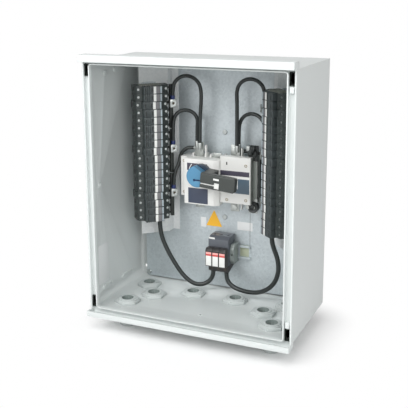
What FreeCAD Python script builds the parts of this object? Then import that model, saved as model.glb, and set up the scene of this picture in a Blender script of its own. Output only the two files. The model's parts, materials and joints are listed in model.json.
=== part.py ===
import FreeCAD, Part
import math
import os

V = FreeCAD.Vector

# A string junction box for a solar roof, standing open on its cable glands.
# Millimetres. X right, Y into the box, Z up. The origin is the middle of the
# footprint, on the surface that the glands stand on.

# Driving dimensions: enclosure
box_width = 500.0
box_depth = 263.0
body_height = 591.0
wall = 4.0
back_edge_radius = 10.0
opening_side_margin = 20.0
opening_radius = 5.0
cove_radius = 16.0
rim_thick = 3.0
rim_above_floor = 3.0
rim_forward = 2.0
gutter_depth = 8.0
flange_thick = 4.0
hood_forward = 18.0
hood_back = 16.0
hood_rise_top = 16.0
hood_rise_bottom = 13.0
hood_wall = 4.0
hinge_slot_height = 26.0
hinge_slot_gap = 2.5
hinge_block_height = 13.0
hinge_block_gap = 3.0
wall_boss_height = 3.0
wall_boss_width = 13.0
wall_boss_hole = 4.5

# Driving dimensions: cable glands
gland_drop = 40.0
gland_bore = 28.0
gland_thread = 40.0
gland_thread_gap = 0.3
gland_cap_diameter = 49.0
gland_cap_foot = 38.0
gland_cap_height = 34.0
gland_hex = 50.0
gland_flange = 56.0
gland_flange_thick = 4.0
gland_nut_hex = 54.0
gland_nut_thick = 7.0
gland_nut_collar = 2.0
gland_above_nut = 1.5
gland_seal_depth = 16.0
gland_seal_thick = 6.0
gland_side_x = 184.0
gland_inner_x = 143.0
gland_rear_x = 56.0
gland_front_y = -57.0
gland_middle_y = 2.0
gland_corner_y = 59.0
gland_rear_y = 47.0

# Driving dimensions: mounting plate
plate_width = 442.0
plate_thick = 2.0
plate_floor_gap = 4.0
plate_ceiling_gap = 4.0
plate_behind = 17.0
plate_corner_radius = 4.0
standoff_diameter = 16.0
screw_shank = 6.0
screw_clearance = 0.3
screw_head_diameter = 12.0
screw_head_height = 3.5
screw_length = 14.0
screw_side_inset = 7.0
screw_end_inset = 9.0
centre_screw_above = 59.0
centre_screw_share = 0.375
wall_fixing_hole = 9.0
wall_fixing_inset = 17.0
wall_fixing_rise = 24.0

# Driving dimensions: fuse banks. s runs along a bank's face from its outer
# edge inwards, d stands out from the bracket's face.
bank_angle = 42.0
bank_centre_x = 167.5
bank_centre_y = 68.2
bracket_width = 73.0
bracket_sheet = 2.0
bracket_foot = 17.0
bracket_top_gap = 15.0
bracket_over_fuses = 44.5
bracket_under_fuses = 45.5
rail_width = 35.0
rail_lip = 5.0
rail_height = 7.5
rail_sheet = 1.0
rail_centre_s = -14.0
rail_end_spare = 4.0
fuse_rows = 18
rows_per_comb = 6
lug_row_in_comb = 2
lug_row_shift = 2.0
fuse_pitch = 18.5
fuse_gap = 0.4
base_outer_s = -56.0
base_inner_s = 28.0
base_back_d = 3.0
nose_outer_s = -39.0
nose_inner_s = 6.0
nose_floor_d = 44.0
nose_front_d = 58.0
shoulder_d = 41.0
shoulder_end_d = 28.0
shoulder_slope_s = 4.0
lever_clearance = 0.3
lever_pivot_s = -1.3
lever_corner = 1.5
grip_length = 15.0
grip_groove = 0.9
carrier_outer_s = -30.0
carrier_inner_s = -12.0
carrier_depth = 13.0
carrier_width = 10.0
well_outer_s = -37.2
well_inner_s = -8.0
well_depth = 16.0
well_width = 12.0
entry_depth = 8.0
entry_width = 10.0
entry_low_d = 14.0
entry_high_d = 25.0
screw_pit_radius = 3.2
screw_pit_depth = 5.0
screw_pit_inset = 8.0
comb_low_d = 14.0
comb_high_d = 24.0
comb_inner_s = 34.0
comb_outer_s = 42.0
comb_end_gap = 1.5
comb_tooth_width = 6.0
comb_tooth_thick = 3.0
lug_low_s = 30.5
lug_high_s = 46.5
lug_depth = 16.0
lug_height = 19.0
lug_hole_radius = 3.0
lug_hole_depth = 8.0

# Driving dimensions: isolator
poles_left_x = -78.0
poles_right_x = 96.0
poles_front = 35.0
poles_height = 92.0
poles_over_fuses = 64.5
cover_left_x = 9.0
cover_right_x = 86.0
cover_below = 11.0
cover_above = 11.0
cover_front = 54.0
mech_left_x = -98.0
mech_below = 19.5
mech_above = 1.0
mech_front = 66.0
mech_bevel = 12.5
mech_bevel_drop = 8.0
mech_step = 18.0
mech_step_drop = 20.0
mech_step_height = 14.0
pole_first_x = -54.0
pole_pitch = 46.3
pole_count = 4
terminal_width = 22.0
terminal_thick = 3.0
terminal_length = 36.0
terminal_depth = 31.5
terminal_stub = 12.0
terminal_bolt_rise = 20.0
terminal_bolt_drop = 26.0
terminal_bolt_hex = 13.0
terminal_bolt_head = 5.5
terminal_washer = 18.0
terminal_washer_thick = 1.5
separator_thick = 2.5
separator_height = 30.0
separator_depth = 9.0
separator_from_pole = 17.5
cheek_inner = 14.5
cheek_thick = 3.0
cheek_height = 9.0
cheek_depth = 22.0
cable_lug_diameter = 11.0
cable_lug_plate = 3.0
cable_lug_length = 16.0
link_boot_diameter = 14.0
link_boot_bend = 12.0
link_boot_gap = 0.3
link_boot_end = 3.0
link_x = 103.5
link_rise = 32.0
link_drop = 18.0
hub_x = -33.0
hub_drop = 34.0
hub_diameter = 52.0
hub_gap = 0.4
hub_height = 18.0
hub_stem_diameter = 24.0
hub_stem_length = 16.0
hub_eye_x = -5.0
hub_slot_width = 3.5
hub_slot_depth = 3.0
handle_tilt = 5.5
handle_length = 104.0
handle_width = 35.0
handle_thick = 16.0
handle_hub_gap = 0.4
handle_start = 17.0
handle_neck = 16.0
handle_slot_drop = 8.0
handle_slot_height = 4.0
handle_window_from = 51.0
handle_window_to = 65.0
handle_window_rise = 7.5
handle_window_height = 15.5

# Driving dimensions: surge arrester
arrester_module = 17.5
arrester_count = 3
arrester_left_x = -24.4
arrester_rise = 55.0
arrester_height = 90.0
arrester_rail_x0 = -38.0
arrester_rail_x1 = 69.0
arrester_foot = 4.0
arrester_shoulder = 48.0
arrester_well_floor = 20.0
arrester_well_wall = 3.0
plug_low_inset = 19.0
plug_height = 46.0
plug_front = 68.0
plug_gap = 0.3
plug_stem_height = 30.0
plug_stem_width = 11.0
plug_travel = 35.0
funnel_radius = 3.5
funnel_depth = 9.0
funnel_from_shoulder = 10.0
clamp_width = 9.5
clamp_height = 50.0
clamp_front = 38.0

# Driving dimensions: cables
string_cable = 9.0
arrester_cable = 11.0
cable_entry_s = 2.0
cable_entry_d = 30.0

# Places that follow from the values above
face_y = hood_forward - (box_depth + hood_forward) / 2
back_y = face_y + box_depth
side_x = box_width / 2
hood_low = gland_drop
body_low = hood_low + hood_rise_bottom
body_high = body_low + body_height
hood_high = body_high + hood_rise_top
floor_z = body_low + wall
ceiling_z = body_high - wall
inner_x = side_x - wall
flange_front = face_y + gutter_depth
flange_back = flange_front + flange_thick
opening_x = side_x - opening_side_margin
opening_low = floor_z + rim_above_floor
opening_high = ceiling_z - rim_above_floor
plate_back = back_y - wall - plate_behind
plate_front = plate_back - plate_thick
plate_low = floor_z + plate_floor_gap
plate_high = ceiling_z - plate_ceiling_gap
bracket_high = plate_high - bracket_top_gap
fuse_low = bracket_high - bracket_over_fuses - fuse_rows * fuse_pitch
bracket_low = fuse_low - bracket_under_fuses
poles_low = fuse_low + poles_over_fuses
poles_high = poles_low + poles_height
cover_low = poles_low - cover_below
cover_high = poles_high + cover_above
mech_low = poles_low - mech_below
mech_high = poles_high + mech_above
hub_z = poles_high - hub_drop
arrester_low = plate_low + arrester_rise
arrester_high = arrester_low + arrester_height
cabled_poles = (0, pole_count - 2)
low_screw_z = arrester_high + centre_screw_share * (poles_low - arrester_high)
angle = math.radians(bank_angle)
along = V(math.cos(angle), math.sin(angle), 0)
outward = V(math.sin(angle), -math.cos(angle), 0)
bank_centre = V(-bank_centre_x, bank_centre_y, 0)
fuse_thick = fuse_pitch - fuse_gap
lever_back_d = nose_floor_d + lever_clearance
lever_pivot_d = lever_back_d + (nose_inner_s - lever_pivot_s)
gland_places = [
    (side * x, y)
    for side in (-1, 1)
    for x, y in (
        (gland_side_x, gland_front_y),
        (gland_inner_x, gland_middle_y),
        (gland_side_x, gland_corner_y),
        (gland_rear_x, gland_rear_y),
    )
]
screw_places = [
    (side * (plate_width / 2 - screw_side_inset), z)
    for side in (-1, 1)
    for z in (plate_low + screw_end_inset, plate_high - screw_end_inset)
] + [(0, poles_high + centre_screw_above), (0, low_screw_z)]

cable_start_z = [
    fuse_low + (fuse_rows - 1 - lug_row_in_comb - group * rows_per_comb) * fuse_pitch
    + (fuse_pitch + lug_height) / 2
    for group in range(fuse_rows // rows_per_comb)
]
feed = bank_centre + along * ((lug_low_s + lug_high_s) / 2) + outward * (comb_high_d + lug_depth / 2)
foot = bank_centre + along * cable_entry_s + outward * cable_entry_d
arrester_entry_y = plate_front - arrester_shoulder + funnel_from_shoulder

# Cable routes. Their ends are tied to the pieces, the points between are not.
left_cables = [
    [
        (feed.x, feed.y, cable_start_z[0]),
        (feed.x, feed.y, fuse_low + 329.2),
        (-103.2, 71.2, fuse_low + 348.1),
        (-81.0, 72.2, fuse_low + 355.4),
        (-58.7, 73.6, fuse_low + 348.1),
        (-45.0, 75.0, fuse_low + 329.2),
        (-44.5, 76.3, fuse_low + 293.5),
        (-49.5, 78.0, fuse_low + 248.5),
        (-49.5, 78.0, poles_high + 36.0),
    ],
    [
        (feed.x, feed.y, cable_start_z[1]),
        (feed.x, feed.y, fuse_low + 218.5),
        (-117.0, 73.5, fuse_low + 249.9),
        (-106.0, 77.0, fuse_low + 265.1),
        (-88.0, 81.0, fuse_low + 271.0),
        (-70.0, 85.0, fuse_low + 265.1),
        (-59.0, 87.5, fuse_low + 249.9),
        (-62.0, 90.0, fuse_low + 224.5),
        (-62.0, 90.0, poles_high + 38.0),
    ],
    [
        (feed.x, feed.y, cable_start_z[2]),
        (feed.x, feed.y, fuse_low + 108.5),
        (-107.5, 84.0, fuse_low + 138.5),
        (-106.5, 87.5, fuse_low + 155.5),
        (-98.5, 88.0, fuse_low + 168.5),
        (-84.5, 90.5, poles_high + terminal_bolt_rise),
        (poles_left_x + 8.0, 90.5, poles_high + terminal_bolt_rise),
    ],
]
right_cables = [
    [
        (-feed.x, feed.y, cable_start_z[0]),
        (-feed.x, feed.y, fuse_low + 328.6),
        (103.6, 71.2, fuse_low + 347.5),
        (81.5, 72.2, fuse_low + 354.5),
        (59.4, 73.6, fuse_low + 347.5),
        (45.7, 75.0, fuse_low + 328.6),
        (46.6, 76.3, fuse_low + 292.5),
        (46.0, 78.0, fuse_low + 248.5),
        (46.0, 78.0, poles_high + 36.0),
    ],
    [
        (-feed.x, feed.y, cable_start_z[1]),
        (-feed.x, feed.y, fuse_low + 216.5),
        (117.7, 73.5, fuse_low + 246.8),
        (104.4, 77.0, fuse_low + 265.1),
        (82.9, 81.5, fuse_low + 272.1),
        (61.4, 86.0, fuse_low + 265.1),
        (48.1, 89.5, fuse_low + 246.8),
        (46.0, 90.5, fuse_low + 224.5),
        (46.0, 90.5, poles_high + 38.0),
    ],
    [
        (-feed.x, feed.y, cable_start_z[2]),
        (-feed.x, feed.y, fuse_low + 108.5),
        (111.0, 87.0, fuse_low + 138.5),
        (109.5, 94.0, fuse_low + 157.0),
        (102.0, 97.0, fuse_low + 169.5),
        (89.0, 98.2, fuse_low + 176.2),
        (74.0, 97.3, poles_high + terminal_bolt_rise),
        (58.0, 97.3, poles_high + terminal_bolt_rise),
    ],
]
drop = fuse_low - arrester_low
arrester_cables = [
    [
        (foot.x, foot.y, fuse_low + fuse_gap / 2),
        (foot.x, foot.y, arrester_low + 0.75 * drop),
        (-133.0, 50.4, arrester_low + 0.43 * drop),
        (-112.0, 55.7, arrester_low + 0.115 * drop),
        (-90.0, 61.2, 97.0),
        (-68.7, 66.6, 78.9),
        (-52.0, 70.5, 75.0),
        (-35.6, 74.5, 78.4),
        (-22.8, 77.7, 88.3),
        (arrester_left_x + arrester_module / 2, arrester_entry_y, 102.9),
        (arrester_left_x + arrester_module / 2, arrester_entry_y, arrester_low),
    ],
    [
        (-foot.x, foot.y, fuse_low + fuse_gap / 2),
        (-foot.x, foot.y, arrester_low + 0.87 * drop),
        (150.0, 47.6, arrester_low + 0.715 * drop),
        (161.0, 48.4, arrester_low + 0.51 * drop),
        (164.0, 50.4, arrester_low + 0.27 * drop),
        (154.0, 53.8, arrester_low + 0.01 * drop),
        (133.0, 59.0, 94.0),
        (108.0, 64.5, 80.5),
        (82.0, 70.0, 75.5),
        (57.0, 75.0, 76.0),
        (39.6, 77.6, 79.5),
        (26.1, 79.0, 88.0),
        (arrester_left_x + arrester_module * 2.5, arrester_entry_y, 102.0),
        (arrester_left_x + arrester_module * 2.5, arrester_entry_y, arrester_low),
    ],
]


def box(x0, x1, y0, y1, z0, z1):
    return Part.makeBox(x1 - x0, y1 - y0, z1 - z0, V(x0, y0, z0))


def rod(radius, start, end):
    path = end - start
    return Part.makeCylinder(radius, path.Length, start, path)


def prism(points, push):
    """A flat outline, given by its corners, pushed along a vector."""
    return Part.Face(Part.makePolygon(points + points[:1])).extrude(push)


def hexagon(across_flats, centre, height, turn=0.0):
    radius = across_flats / math.sqrt(3)
    corners = [
        centre + V(radius * math.cos(a), radius * math.sin(a), 0)
        for a in (math.radians(60 * i + turn) for i in range(6))
    ]
    return prism(corners, V(0, 0, height))


def round_window(x, z0, z1, radius, y0, y1):
    """A block with four rounded corners, as wide as -x to x."""
    block = box(-x, x, y0, y1, z0, z1)
    edges = [e for e in block.Edges if abs(e.tangentAt(e.FirstParameter).y) > 0.9]
    return block.makeFillet(radius, edges)


def upright_edges(shape, test):
    """The straight edges whose middle passes the test."""
    return [e for e in shape.Edges if test(e.CenterOfMass)]


def mirror(shape):
    return shape.mirror(V(0, 0, 0), V(1, 0, 0))


def on_bank(s, d, z):
    """A point of the left bank, from its place on the bracket's face."""
    return bank_centre + along * s + outward * d + V(0, 0, z)


def bank_prism(outline, low, height):
    """An outline in (s, d) of the left bank, pushed upwards."""
    return prism([on_bank(s, d, low) for s, d in outline], V(0, 0, height))


def bank_block(s0, s1, d0, d1, low, height):
    return bank_prism([(s0, d0), (s1, d0), (s1, d1), (s0, d1)], low, height)


def save(name, shape):
    shape.exportStep("parts/" + name + ".step")


# Enclosure
def enclosure():
    body = box(-side_x, side_x, face_y, back_y, body_low, body_high)
    body = body.makeFillet(
        back_edge_radius, upright_edges(body, lambda p: abs(p.y - back_y) < 0.01)
    )
    hood_y0 = face_y - hood_forward
    hood_y1 = face_y + hood_back
    top = box(-side_x, side_x, hood_y0, hood_y1, body_high, hood_high)
    bottom = box(-side_x, side_x, hood_y0, hood_y1, hood_low, body_low)
    shell = body.fuse([top, bottom]).removeSplitter()
    gutter = box(
        -inner_x,
        inner_x,
        hood_y0 + hood_wall,
        flange_front,
        hood_low + hood_wall,
        hood_high - hood_wall,
    )
    cavity = box(-inner_x, inner_x, flange_back, back_y - wall, floor_z, ceiling_z)
    cavity = cavity.makeFillet(
        back_edge_radius - wall,
        upright_edges(cavity, lambda p: abs(p.y - back_y + wall) < 0.01 and abs(p.z - floor_z) > 1),
    )
    opening = round_window(
        opening_x,
        opening_low,
        opening_high,
        opening_radius,
        flange_front - 1,
        flange_back + 1,
    )
    shell = shell.cut([gutter, cavity, opening]).fuse(coves())
    rim_outer = round_window(
        opening_x + rim_thick,
        opening_low - rim_thick,
        opening_high + rim_thick,
        opening_radius + rim_thick,
        face_y - rim_forward,
        flange_front,
    )
    rim_inner = round_window(
        opening_x,
        opening_low,
        opening_high,
        opening_radius,
        face_y - rim_forward - 1,
        flange_front + 1,
    )
    shell = shell.fuse(rim_outer.cut(rim_inner))
    extras = hinge_blocks() + wall_bosses() + standoffs()
    shell = shell.fuse(extras)
    holes = hinge_slots() + gland_holes() + wall_boss_holes()
    holes += fixing_holes() + standoff_holes()
    return shell.cut(holes).removeSplitter()


def coves():
    """Rounded strips where the floor meets the side walls."""
    r = cove_radius
    block = box(-inner_x, -inner_x + r, flange_back, back_y - wall, floor_z, floor_z + r)
    centre = V(-inner_x + r, flange_back - 1, floor_z + r)
    strip = block.cut(rod(r, centre, centre + V(0, back_y - flange_back, 0)))
    return [strip, mirror(strip)]


def slot_spans():
    """The heights of the upper and lower hinge slots."""
    low = floor_z + hinge_slot_gap
    high = ceiling_z - hinge_slot_gap
    return [(low, low + hinge_slot_height), (high - hinge_slot_height, high)]


def slot_x():
    return opening_x + rim_thick + hinge_slot_gap, inner_x - hinge_slot_gap / 2


def hinge_slots():
    x0, x1 = slot_x()
    slots = []
    for z0, z1 in slot_spans():
        slot = box(x0, x1, flange_front - 1, flange_back + 1, z0, z1)
        slots += [slot, mirror(slot)]
    return slots


def hinge_blocks():
    """Moulded seats beside the right slots, where a door's hinges clip in."""
    x0, x1 = slot_x()
    low, high = slot_spans()
    blocks = []
    for z0 in (low[1] + hinge_block_gap, high[0] - hinge_block_gap - hinge_block_height):
        block = box(x0, x1, face_y, flange_front, z0, z0 + hinge_block_height)
        edges = upright_edges(block, lambda p: abs(p.y - face_y) < 0.01)
        blocks.append(block.makeFillet(hinge_slot_gap / 2, edges))
    return blocks


def wall_boss_places():
    """Middle, length and hole of each boss on a side wall: y, z, length, hole."""
    return [
        (-28.6, ceiling_z - 32.0, 0.0, False),
        (42.0, ceiling_z - 28.0, 48.0, True),
        (-69.0, (floor_z + ceiling_z) / 2 - 3.5, 0.0, False),
        (54.0, floor_z + 25.0, 44.0, True),
        (-46.0, floor_z + 29.0, 30.0, True),
    ]


def wall_bosses():
    bosses = []
    for y, z, length, _ in wall_boss_places():
        radius = wall_boss_width / 2
        start = V(-inner_x, y, z)
        tip = V(wall_boss_height, 0, 0)
        if length:
            half = V(0, length / 2, 0)
            up = V(0, 0, radius)
            flat = [start - half - up, start + half - up, start + half + up, start - half + up]
            pill = prism(flat, tip)
            ends = [rod(radius, start + side, start + side + tip) for side in (half, -half)]
            boss = pill.fuse(ends).removeSplitter()
        else:
            boss = rod(radius, start, start + tip)
        bosses += [boss, mirror(boss)]
    return bosses


def wall_boss_holes():
    holes = []
    for y, z, length, has_hole in wall_boss_places():
        if has_hole:
            mouth = V(-inner_x + wall_boss_height, y + length / 2, z)
            hole = rod(wall_boss_hole / 2, mouth, mouth - V(wall_boss_height, 0, 0))
            holes += [hole, mirror(hole)]
    return holes


def standoffs():
    """Posts moulded on the back wall, which the mounting plate lies on."""
    radius = standoff_diameter / 2
    return [rod(radius, V(x, plate_back, z), V(x, back_y - wall, z)) for x, z in screw_places]


def standoff_holes():
    radius = screw_shank / 2 + screw_clearance / 2
    depth = screw_length - plate_thick + 1
    return [rod(radius, V(x, plate_back, z), V(x, plate_back + depth, z)) for x, z in screw_places]


def fixing_holes():
    """Four holes through the back wall, for screws into the wall behind."""
    holes = []
    for x in (wall_fixing_inset - side_x, side_x - wall_fixing_inset):
        for z in (body_low + wall_fixing_rise, body_high - wall_fixing_rise):
            start = V(x, back_y - wall - 1, z)
            holes.append(rod(wall_fixing_hole / 2, start, start + V(0, wall + 2, 0)))
    return holes


def gland_holes():
    radius = gland_thread / 2 + gland_thread_gap / 2
    return [rod(radius, V(x, y, body_low - 1), V(x, y, floor_z + 1)) for x, y in gland_places]


# Cable glands
def gland_body(x, y):
    """Cap with a rounded foot, hexagon, flange and thread, with a bore."""
    cap = gland_cap_diameter / 2
    foot = gland_cap_foot / 2
    flange_low = body_low - gland_flange_thick
    outline = Part.Wire(
        [
            Part.LineSegment(V(0, 0, 0), V(foot, 0, 0)).toShape(),
            Part.Arc(
                V(foot, 0, 0), V(cap - 1.6, 0, gland_cap_height * 0.24), V(cap, 0, gland_cap_height * 0.6)
            ).toShape(),
            Part.LineSegment(V(cap, 0, gland_cap_height * 0.6), V(cap, 0, gland_cap_height)).toShape(),
            Part.LineSegment(V(cap, 0, gland_cap_height), V(0, 0, gland_cap_height)).toShape(),
            Part.LineSegment(V(0, 0, gland_cap_height), V(0, 0, 0)).toShape(),
        ]
    )
    dome = Part.Face(outline).revolve(V(0, 0, 0), V(0, 0, 1), 360)
    hexagonal = hexagon(gland_hex, V(0, 0, gland_cap_height), flange_low - gland_cap_height)
    flange = rod(gland_flange / 2, V(0, 0, flange_low), V(0, 0, body_low))
    thread_top = floor_z + gland_nut_thick + gland_nut_collar + gland_above_nut
    thread = rod(gland_thread / 2, V(0, 0, body_low), V(0, 0, thread_top))
    body = dome.fuse([hexagonal, flange, thread])
    body = body.cut(rod(gland_bore / 2, V(0, 0, -1), V(0, 0, thread_top + 1)))
    body.translate(V(x, y, 0))
    return body.removeSplitter()


def gland_seal(x, y):
    """The disc that closes an unused gland."""
    low = gland_seal_depth
    return rod(gland_bore / 2, V(x, y, low), V(x, y, low + gland_seal_thick))


def gland_nut(x, y):
    hole = gland_thread / 2 + gland_thread_gap / 2
    nut = hexagon(gland_nut_hex, V(x, y, floor_z), gland_nut_thick, 30.0)
    top = floor_z + gland_nut_thick
    collar = rod(gland_nut_hex / 2 - 2, V(x, y, top), V(x, y, top + gland_nut_collar))
    return nut.fuse(collar).cut(rod(hole, V(x, y, floor_z - 1), V(x, y, top + gland_nut_collar + 1)))


# Mounting plate
def mounting_plate():
    half = plate_width / 2
    plate = box(-half, half, plate_front, plate_back, plate_low, plate_high)
    corners = [e for e in plate.Edges if abs(e.tangentAt(e.FirstParameter).y) > 0.9]
    plate = plate.makeFillet(plate_corner_radius, corners)
    radius = screw_shank / 2 + screw_clearance
    holes = [rod(radius, V(x, plate_front - 1, z), V(x, plate_back + 1, z)) for x, z in screw_places]
    return plate.cut(holes)


def plate_screws():
    screws = []
    for x, z in screw_places:
        head = rod(screw_head_diameter / 2, V(x, plate_front - screw_head_height, z), V(x, plate_front, z))
        head = head.makeFillet(1.5, upright_edges(head, lambda p: p.y < plate_front - 1 and p.y < head.CenterOfMass.y))
        shank = rod(screw_shank / 2, V(x, plate_front, z), V(x, plate_front + screw_length, z))
        screws.append(head.fuse(shank))
    return Part.makeCompound(screws)


# Fuse banks
def bank_bracket():
    """Bent sheet: the turned face, two legs back to the plate, two feet."""
    half = bracket_width / 2
    inner = on_bank(half, 0, 0)
    outer = on_bank(-half, 0, 0)
    t = bracket_sheet
    low = bracket_low
    height = bracket_high - bracket_low
    face = bank_block(-half, half, -t, 0, low, height)
    parts = [face]
    for corner, side in ((inner, 1), (outer, -1)):
        x0, x1 = sorted((corner.x, corner.x - side * t))
        leg_start = corner.y + (0.0 if side > 0 else t * 0.4)
        leg = Part.makeBox(x1 - x0, plate_front - leg_start, height, V(x0, leg_start, low))
        foot_x = sorted((corner.x - side * t, corner.x + side * bracket_foot))
        foot = Part.makeBox(foot_x[1] - foot_x[0], t, height, V(foot_x[0], plate_front - t, low))
        parts += [leg, foot]
    return parts[0].fuse(parts[1:]).removeSplitter()


def bank_rail():
    """Top-hat rail, its open side to the bracket."""
    half = rail_width / 2
    web = half - rail_lip
    t = rail_sheet
    h = rail_height
    outline = [
        (-web - t / 2, 0),
        (web + t / 2, 0),
        (web + t / 2, h - t),
        (half, h - t),
        (half, h),
        (web - t / 2, h),
        (web - t / 2, t),
        (-web + t / 2, t),
        (-web + t / 2, h),
        (-half, h),
        (-half, h - t),
        (-web - t / 2, h - t),
    ]
    outline = [(s + rail_centre_s, d) for s, d in outline]
    low = fuse_low - rail_end_spare
    return bank_prism(outline, low, fuse_rows * fuse_pitch + 2 * rail_end_spare)


def row_low(row):
    """The underside of a holder; row 0 is the top one."""
    return fuse_low + (fuse_rows - 1 - row) * fuse_pitch + fuse_gap / 2


def row_shift(row):
    """Holders that carry a feed lug sit a little further out."""
    return -lug_row_shift if row % rows_per_comb == lug_row_in_comb else 0.0


def octagon(s, d, radius, low, depth):
    """A small eight-sided pit for a terminal screw, along the outward way."""
    corners = [
        on_bank(s + radius * math.cos(a), d, low + radius * math.sin(a))
        for a in (math.radians(45 * i + 22.5) for i in range(8))
    ]
    return prism(corners, outward * -depth)


def fuse_base(row):
    shift = row_shift(row)
    low = row_low(row)
    half = rail_width / 2 + 0.3
    clip_d = rail_height + 0.3
    s0 = base_outer_s
    s1 = base_inner_s
    outline = [
        (s0, base_back_d),
        (rail_centre_s - half - shift, base_back_d),
        (rail_centre_s - half - shift, clip_d),
        (rail_centre_s + half - shift, clip_d),
        (rail_centre_s + half - shift, base_back_d),
        (s1, base_back_d),
        (s1, shoulder_end_d),
        (s1 - shoulder_slope_s, shoulder_d - 2),
        (nose_inner_s + 1, shoulder_d),
        (nose_inner_s, nose_floor_d),
        (nose_outer_s, nose_floor_d),
        (nose_outer_s - 1, shoulder_d),
        (s0 + shoulder_slope_s, shoulder_d - 2),
        (s0, shoulder_end_d),
    ]
    outline = [(s + shift, d) for s, d in outline]
    block = bank_prism(outline, low, fuse_thick)
    middle = low + fuse_thick / 2
    well = bank_block(
        well_outer_s + shift,
        well_inner_s + shift,
        nose_floor_d - well_depth,
        nose_floor_d + 1,
        middle - well_width / 2,
        well_width,
    )
    cuts = [well]
    for end, side in ((s0, 1), (s1, -1)):
        a, b = sorted((end + shift - side, end + shift + side * entry_depth))
        cuts.append(bank_block(a, b, entry_low_d, entry_high_d, middle - entry_width / 2, entry_width))
        pit_s = end + shift + side * screw_pit_inset
        cuts.append(octagon(pit_s, shoulder_d + 1, screw_pit_radius, middle, screw_pit_depth + 1))
    return block.cut(cuts)


def lever_outline():
    """The lever from above: grip grooves at its outer end, a round heel."""
    heel = nose_inner_s - lever_pivot_s
    front = nose_front_d
    outer = nose_outer_s
    c = lever_corner
    g = grip_groove
    step = grip_length / 3
    points = [(outer, lever_back_d), (outer, front - c), (outer + c, front)]
    for i in range(3):
        s = outer + c + 1 + i * step
        points += [(s + 1, front), (s + 1.6, front - g), (s + step - 1.6, front - g), (s + step - 1, front)]
    points += [(nose_inner_s - c, front), (nose_inner_s, front - c)]
    return points, heel


def fuse_lever(row):
    """Swinging fuse carrier, its round heel about the hinge pin's axis."""
    shift = row_shift(row)
    low = row_low(row)
    points, heel = lever_outline()
    world = [on_bank(s + shift, d, low) for s, d in points]
    pin = on_bank(lever_pivot_s + shift, lever_pivot_d, low)
    half_turn = (along - outward) * (heel / math.sqrt(2))
    edges = [Part.LineSegment(a, b).toShape() for a, b in zip(world, world[1:])]
    heel_end = on_bank(lever_pivot_s + shift, lever_back_d, low)
    heel_top = on_bank(nose_inner_s + shift, lever_pivot_d, low)
    edges.append(Part.LineSegment(world[-1], heel_top).toShape())
    edges.append(Part.Arc(heel_top, pin + half_turn, heel_end).toShape())
    edges.append(Part.LineSegment(heel_end, world[0]).toShape())
    lever = Part.Face(Part.Wire(edges)).extrude(V(0, 0, fuse_thick))
    carrier = bank_block(
        carrier_outer_s + shift,
        carrier_inner_s + shift,
        lever_back_d - carrier_depth,
        lever_back_d + 1,
        low + (fuse_thick - carrier_width) / 2,
        carrier_width,
    )
    return lever.fuse(carrier).removeSplitter()


def lug_row(group):
    return group * rows_per_comb + lug_row_in_comb


def comb_busbar(group):
    """One bar for six holders, with a tooth into each one's inner end."""
    first = group * rows_per_comb
    last = first + rows_per_comb - 1
    low = row_low(last) + comb_end_gap
    high = row_low(first) + fuse_thick - comb_end_gap
    bar = bank_block(comb_inner_s, comb_outer_s, comb_low_d, comb_high_d, low, high - low)
    teeth = []
    for row in range(first, last + 1):
        tip = base_inner_s + row_shift(row) - entry_depth + 0.3
        tooth_low = row_low(row) + (fuse_thick - comb_tooth_width) / 2
        tooth_d = entry_low_d + 0.3
        tooth = bank_block(tip, comb_inner_s + 1, tooth_d, tooth_d + comb_tooth_thick, tooth_low, comb_tooth_width)
        teeth.append(tooth)
    return bar.fuse(teeth).removeSplitter()


def feed_lug(group):
    """Tinned block on the bar's front, with its clamping screw's hole."""
    low = row_low(lug_row(group)) + (fuse_thick - lug_height) / 2
    block = bank_block(lug_low_s, lug_high_s, comb_high_d, comb_high_d + lug_depth, low, lug_height)
    middle = on_bank((lug_low_s + lug_high_s) / 2, comb_high_d + lug_depth, low + lug_height / 2)
    return block.cut(rod(lug_hole_radius, middle, middle - outward * lug_hole_depth))


def lug_mouth(group):
    """The middle of a feed lug's top, where its cable comes out."""
    z = row_low(lug_row(group)) + (fuse_thick + lug_height) / 2
    return on_bank((lug_low_s + lug_high_s) / 2, comb_high_d + lug_depth / 2, z)


# Isolator
def pole_x(i):
    return pole_first_x + i * pole_pitch


def isolator_poles():
    """Pole block on the plate, with cheeks, separators and the cover over its right half."""
    block = box(poles_left_x, poles_right_x, plate_front - poles_front, plate_front, poles_low, poles_high)
    cover = box(cover_left_x, cover_right_x, plate_front - cover_front, plate_front - poles_front, cover_low, cover_high)
    front = plate_front - cover_front
    edges = upright_edges(cover, lambda p: abs(p.y - front) < 0.01 and p.x > cover_left_x + 1)
    cover = cover.makeFillet(2.0, edges)
    y = plate_front - poles_front
    parts = [cover]
    for i in range(pole_count):
        for side in (-1, 1):
            x = pole_x(i) + side * (cheek_inner + cheek_thick / 2) - cheek_thick / 2
            if x + cheek_thick <= poles_right_x:
                low = poles_low - cheek_height
                parts.append(box(x, x + cheek_thick, y, y + cheek_depth, low, poles_high + cheek_height))
    for i in cabled_poles:
        x = pole_x(i) + separator_from_pole - separator_thick / 2
        parts.append(
            box(
                x,
                x + separator_thick,
                y,
                y + separator_depth,
                poles_low - separator_height,
                poles_high + separator_height,
            )
        )
    return block.fuse(parts).removeSplitter()


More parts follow.
